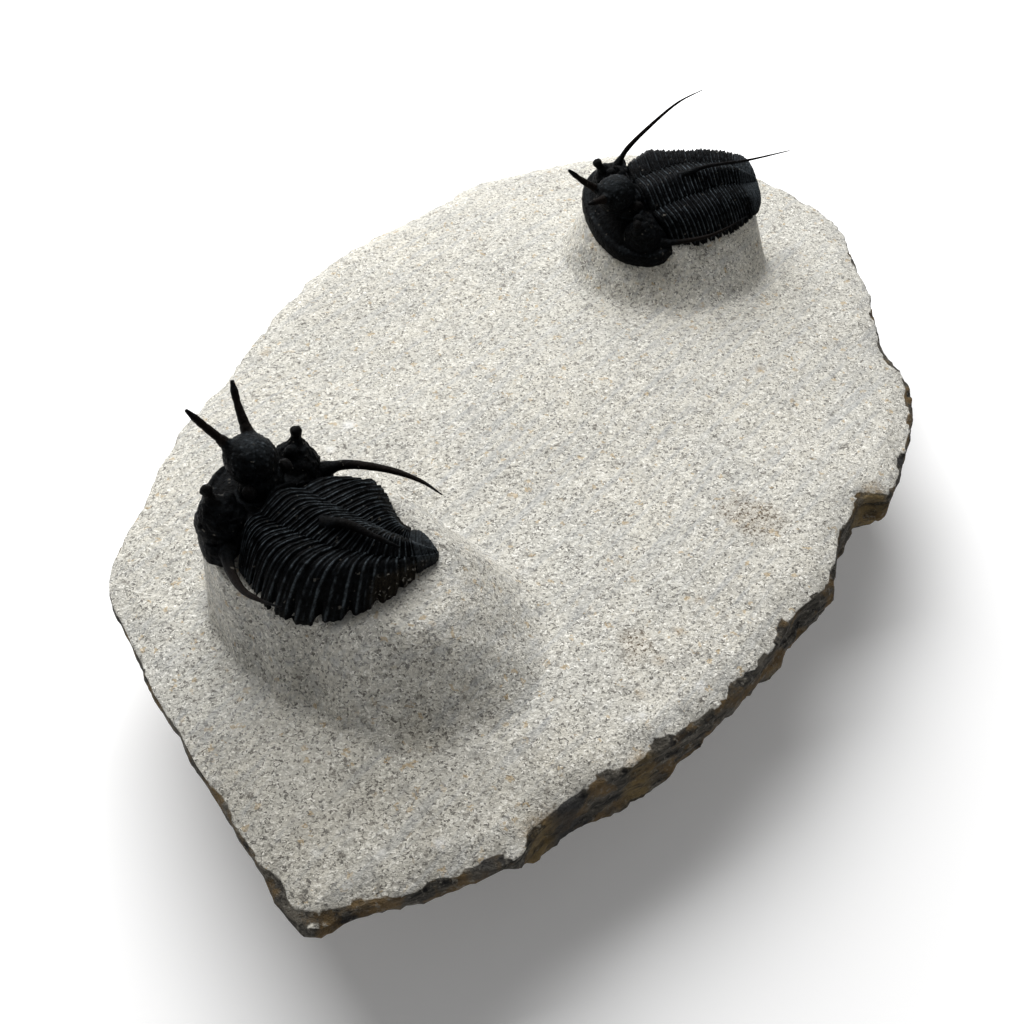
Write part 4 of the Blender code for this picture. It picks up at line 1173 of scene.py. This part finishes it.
def pale_floor():
    """A matt pale floor with a faint glow that keeps the slab's shadow light."""
    made, tree, shader = new_material("floor")
    cloud = noise_node(tree, places(tree), 0.01)
    pale = mix(tree, cloud, (0.90, 0.90, 0.90), (0.92, 0.92, 0.92))
    tree.links.new(pale, shader.inputs["Base Color"])
    shader.inputs["Roughness"].default_value = 0.9
    shader.inputs["Emission Color"].default_value = (1.0, 1.0, 1.0, 1.0)
    shader.inputs["Emission Strength"].default_value = 0.12
    return made


# Stage

def make_floor():
    """A wide floor under the slab, as stage."""
    half = FLOOR_SIZE / 2 * MM
    corners = [(-half, -half, 0.0), (half, -half, 0.0), (half, half, 0.0), (-half, half, 0.0)]
    mesh = bpy.data.meshes.new("floor")
    mesh.from_pydata(corners, [], [(0, 1, 2, 3)])
    mesh.materials.append(pale_floor())
    made = bpy.data.objects.new("floor", mesh)
    bpy.context.scene.collection.objects.link(made)


def make_camera():
    """A camera where the photographer stood, looking down at the slab."""
    data = bpy.data.cameras.new("camera")
    data.sensor_width = SENSOR
    data.lens = LENS
    data.clip_start = 0.005
    data.clip_end = 20.0
    made = bpy.data.objects.new("camera", data)
    made.location = Vector(CAMERA_AT) * MM
    made.rotation_euler = (math.radians(90.0 - CAMERA_DOWN), 0.0, 0.0)
    bpy.context.scene.collection.objects.link(made)
    bpy.context.scene.camera = made


def make_light():
    """A square soft lamp that faces the middle of the slab, and an even dim surround."""
    data = bpy.data.lights.new("key", "AREA")
    data.size = LAMP_SIZE * MM
    data.energy = LAMP_POWER
    made = bpy.data.objects.new("key", data)
    made.location = Vector(LAMP_AT) * MM
    made.rotation_euler = (-made.location).to_track_quat("-Z", "Y").to_euler()
    bpy.context.scene.collection.objects.link(made)
    world = bpy.data.worlds.new("studio")
    world.use_nodes = True
    background = world.node_tree.nodes["Background"]
    background.inputs["Color"].default_value = (1.0, 1.0, 1.0, 1.0)
    background.inputs["Strength"].default_value = WORLD_STRENGTH
    bpy.context.scene.world = world
    bpy.context.scene.view_settings.view_transform = "Standard"


def main():
    """The whole scene."""
    make_camera()
    make_light()
    make_floor()
    stone = limestone()
    shell = black_shell()
    make_slab(stone)
    for name, spec in SPECIMENS.items():
        make_head(name, spec, shell)
        make_thorax(name, spec, shell)
        make_tail(name, spec, shell)


main()
